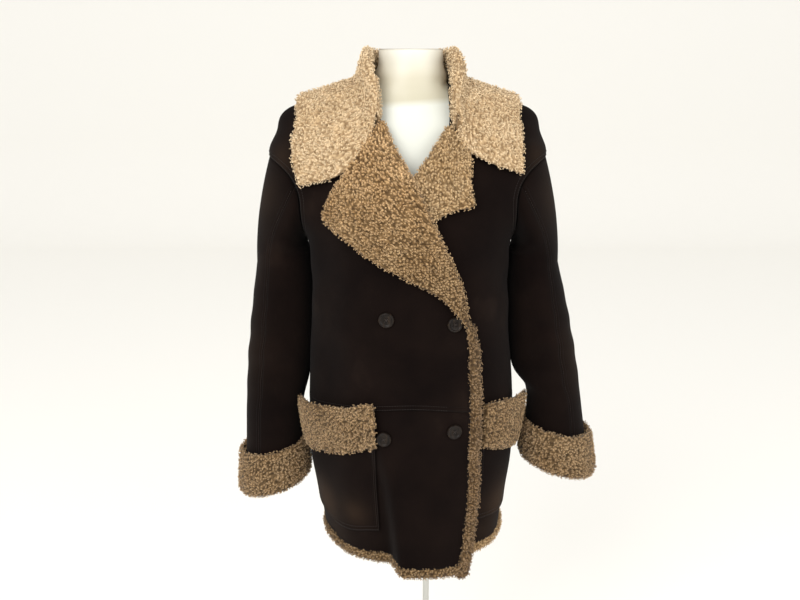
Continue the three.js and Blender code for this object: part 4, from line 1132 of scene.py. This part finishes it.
horn, tree, skin = material("dark horn", {"Roughness": 0.35, "Specular IOR Level": 0.14})
drawn_out = node(tree, "Mapping", {"Vector": object_place(tree), "Scale": (1, 1, 0.25)})["Vector"]
tree.links.new(ramp(tree, noise(tree, 260, 3, drawn_out), [
    (0.4, (0.006, 0.004, 0.003)), (0.62, (0.014, 0.009, 0.006)), (0.78, (0.05, 0.032, 0.018)),
]), skin["Base Color"])
BUTTON_PROFILE = table("v radius height", [
    (0, 0.3, 0), (1, 11.2, 0), (2, 12.4, 1.2), (3, 12.3, 3.2), (4, 11.2, 4.5), (5, 9.6, 4.3), (6, 8.2, 3.1),
    (7, 4.5, 2.7), (8, 0.3, 2.6),
])
HOLE_OFF = 2.3
HOLE_RADIUS = 1.1
for name, x, z, seat in (
    ("upper_outer", -42.5, 1057, 0), ("upper_edge", 66, 1048, -0.2),
    ("lower_outer", -47.5, 853, 1.6), ("lower_edge", 68, 864, 0.7),
):
    base = on_front("right", x, z, seat)
    axis = unit(on_front("right", x, z, seat + 1) - base)
    wide = unit(np.cross(axis, (0.12, 0.0, 1.0)))
    high = np.cross(axis, wide)

    def turned(radius, height, sides):
        """A profile turned round the button's axis."""
        t = np.linspace(0, 2 * np.pi, sides + 1)[:-1, None, None]
        flat = wide * np.cos(t) + high * np.sin(t)
        return base + flat * np.asarray(radius)[None, :, None] + axis * np.asarray(height)[None, :, None]

    v = np.linspace(0, 8, 25)
    grid = turned(column(BUTTON_PROFILE, "radius", v), column(BUTTON_PROFILE, "height", v), 40)
    button = add(f"{name}_button", *capped(grid), "horn", horn, [f"button_{name}"])
    drill_points = []
    drill_faces = []
    centres = []
    for i, (across, up) in enumerate(((-1, -1), (1, -1), (1, 1), (-1, 1))):
        centre = wide * across * HOLE_OFF + high * up * HOLE_OFF
        centres.append(base + centre + axis * 3.0)
        points, faces = capped(turned((HOLE_RADIUS, HOLE_RADIUS), (-2.0, 8.0), 12) + centre)
        drill_points.append(points)
        drill_faces.append(faces + len(points) * i)
    drill_mesh = bpy.data.meshes.new("drill")
    drill_points = np.concatenate(drill_points) * 0.001 - (POLE_X * 0.001, 0, 0)
    drill_mesh.from_pydata(drill_points.tolist(), [], np.concatenate(drill_faces).tolist())
    drill = bpy.data.objects.new("drill", drill_mesh)
    bpy.context.scene.collection.objects.link(drill)
    bore = button.modifiers.new("holes", "BOOLEAN")
    bore.operation = "DIFFERENCE"
    bore.object = drill
    bore.solver = "EXACT"
    drilled = bpy.data.meshes.new_from_object(button.evaluated_get(bpy.context.evaluated_depsgraph_get()))
    button.modifiers.clear()
    button.data = drilled
    bpy.data.objects.remove(drill)
    t = np.linspace(0, 1, 9)[:, None]
    bars = [mix(centres[i], centres[j], t) for i, j in ((0, 2), (1, 3))]
    stitches(f"{name}_button_thread", bars, pitch=1.0, long=6.0, thick=0.5)


# Dress form: smooth and hollow-looking white; its neck is painted a darker grey-beige as shade, darkest in a
# band along a curved line at its root, and its top is painted paler as light from above.
# It keeps just inside the coat, and rests on the pole by its flat underside.

FORM = table("z half front back square", [
    (800, 150, 92, 104, 2.2),
    (860, 160, 100, 118, 2.2),
    (940, 152, 104, 110, 2.2),
    (1050, 118, 96, 84, 2.1),
    (1130, 134, 116, 92, 2.2),
    (1200, 154, 126, 100, 2.2),
    (1290, 184, 104, 102, 2.2),
    (1345, 186, 86, 92, 1.9),
    (1380, 158, 73, 80, 1.5),
    (1400, 100, 64, 70, 1.7),
    (1416, 66.5, 60, 62, 2.0),
    (1430, 60.5, 57, 58, 2.0),
    (1446, 54.5, 54, 55, 2.0),
    (1470, 53, 53, 54, 2.0),
])


def form_ring(angle, z):
    """The form's section, drawn in to stand clear of the coat at the same height and one step higher."""
    own = section(FORM, angle, z)
    lean = column(BODY, "lean", np.maximum(z, 1000))
    middle = np.stack([lean, np.zeros_like(z), z], -1)
    reach = np.linalg.norm(own - middle, axis=-1)

    def radius(level):
        """How far the coat's surface is from its middle line."""
        p = section(BODY, angle, level)
        return np.hypot(p[..., 0] - column(BODY, "lean", level), p[..., 1])

    limit = np.minimum(radius(z) - 8.4, radius(np.minimum(z + 9, 1425)) - 4.4)
    limit = np.where(z > 1420, reach, limit)
    return middle + unit(own - middle) * np.minimum(reach, limit)[..., None]


white, tree, skin = material("white form", {"Roughness": 0.45})
place = node(tree, "SeparateXYZ", {"Vector": object_place(tree)})
tilted = node(tree, "Math", {0: place["X"], 1: -0.066, 2: place["Z"]}, operation="MULTIPLY_ADD")["Value"]
neck_shade_height = node(tree, "MapRange", {"Value": tilted, "From Min": 1.36, "From Max": 1.47})["Result"]
# Painted shade on the neck: darkest in a band at its root, a darker grey-beige up the neck, and paler than
# the chest at the top as painted light.
tree.links.new(ramp(tree, neck_shade_height, [
    (0.2, (0.6, 0.61, 0.55)), (0.3, (0.46, 0.43, 0.325)), (0.6, (0.49, 0.455, 0.35)),
    (1.0, (0.66, 0.64, 0.56)),
]), skin["Base Color"])
turn = np.linspace(0, 2 * np.pi, 121)[:-1]
level = np.concatenate([np.linspace(800, 1340, 60), np.linspace(1343, 1470, 44)])
turn, level = np.meshgrid(turn, level, indexing="ij")
add("smooth_form", *capped(form_ring(turn, level)), "form", white, ["dress_form"])


# Stand: the foot, hub and pole keep their solids, in satin steel.
# Their own meshes are left as they are, and only their material changes.

steel = material("satin steel", {"Base Color": (0.5, 0.5, 0.47, 1), "Roughness": 0.3, "Metallic": 1.0})[0]
for name in ("stand_foot", "stand_hub", "stand_pole"):
    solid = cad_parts[name].data
    solid.materials.clear()
    solid.materials.append(steel)


# Room: a pale floor and wall that run into one another, soft light, and the photograph's viewpoint.
# The wall is far enough behind the coat for pictures from behind to be taken inside the room.

stage_mesh = bpy.data.meshes.new("room")
HALF_WIDTH = 4.0
WALL_Y = 6.0
BEND = 0.8
start = WALL_Y - BEND
bend = [(start + BEND * math.sin(t), BEND - BEND * math.cos(t)) for t in np.linspace(0.1, 1.57, 12)]
profile = [(-3.0, 0.0), (start, 0.0)] + bend + [(WALL_Y, 4.0)]
stage_verts = [(x, y, z - 0.001) for y, z in profile for x in (-HALF_WIDTH, HALF_WIDTH)]
stage_faces = [(2 * i, 2 * i + 1, 2 * i + 3, 2 * i + 2) for i in range(len(profile) - 1)]
stage_mesh.from_pydata(stage_verts, [], stage_faces)
room = bpy.data.objects.new("room", stage_mesh)
bpy.context.scene.collection.objects.link(room)
paper = material("paper white", {"Base Color": (0.9, 0.89, 0.86, 1), "Roughness": 0.9})[0]
stage_mesh.materials.append(paper)
stage_mesh.polygons.foreach_set("use_smooth", np.full(len(stage_faces), True))

world = bpy.data.worlds.new("soft white")
bpy.context.scene.world = world
world.use_nodes = True
sky = world.node_tree.nodes["Background"].inputs
sky["Color"].default_value = (1.0, 0.985, 0.95, 1)
sky["Strength"].default_value = 1.0
for name, place_at, turn, size, power in (
    ("key", (-1.3, -2.2, 2.6), (50, 0, -30), 1.6, 60),
    ("fill", (1.8, -1.8, 1.8), (65, 0, 45), 2.0, 30),
):
    lamp = bpy.data.lights.new(name, "AREA")
    lamp.size = size
    lamp.energy = power
    holder = bpy.data.objects.new(name, lamp)
    holder.location = place_at
    holder.rotation_euler = [math.radians(a) for a in turn]
    bpy.context.scene.collection.objects.link(holder)

PICTURE_WIDTH = 800
FOCAL_LENGTH = 853
LOOK_DOWN = 15.7
camera = bpy.data.cameras.new("camera")
camera.sensor_width = 36
camera.lens = FOCAL_LENGTH * camera.sensor_width / PICTURE_WIDTH
viewer = bpy.data.objects.new("camera", camera)
viewer.location = (-0.051, -1.472, 1.452)
viewer.rotation_euler = (math.radians(90 - LOOK_DOWN), 0, 0)
bpy.context.scene.collection.objects.link(viewer)
bpy.context.scene.camera = viewer
bpy.context.scene.view_settings.view_transform = "Standard"
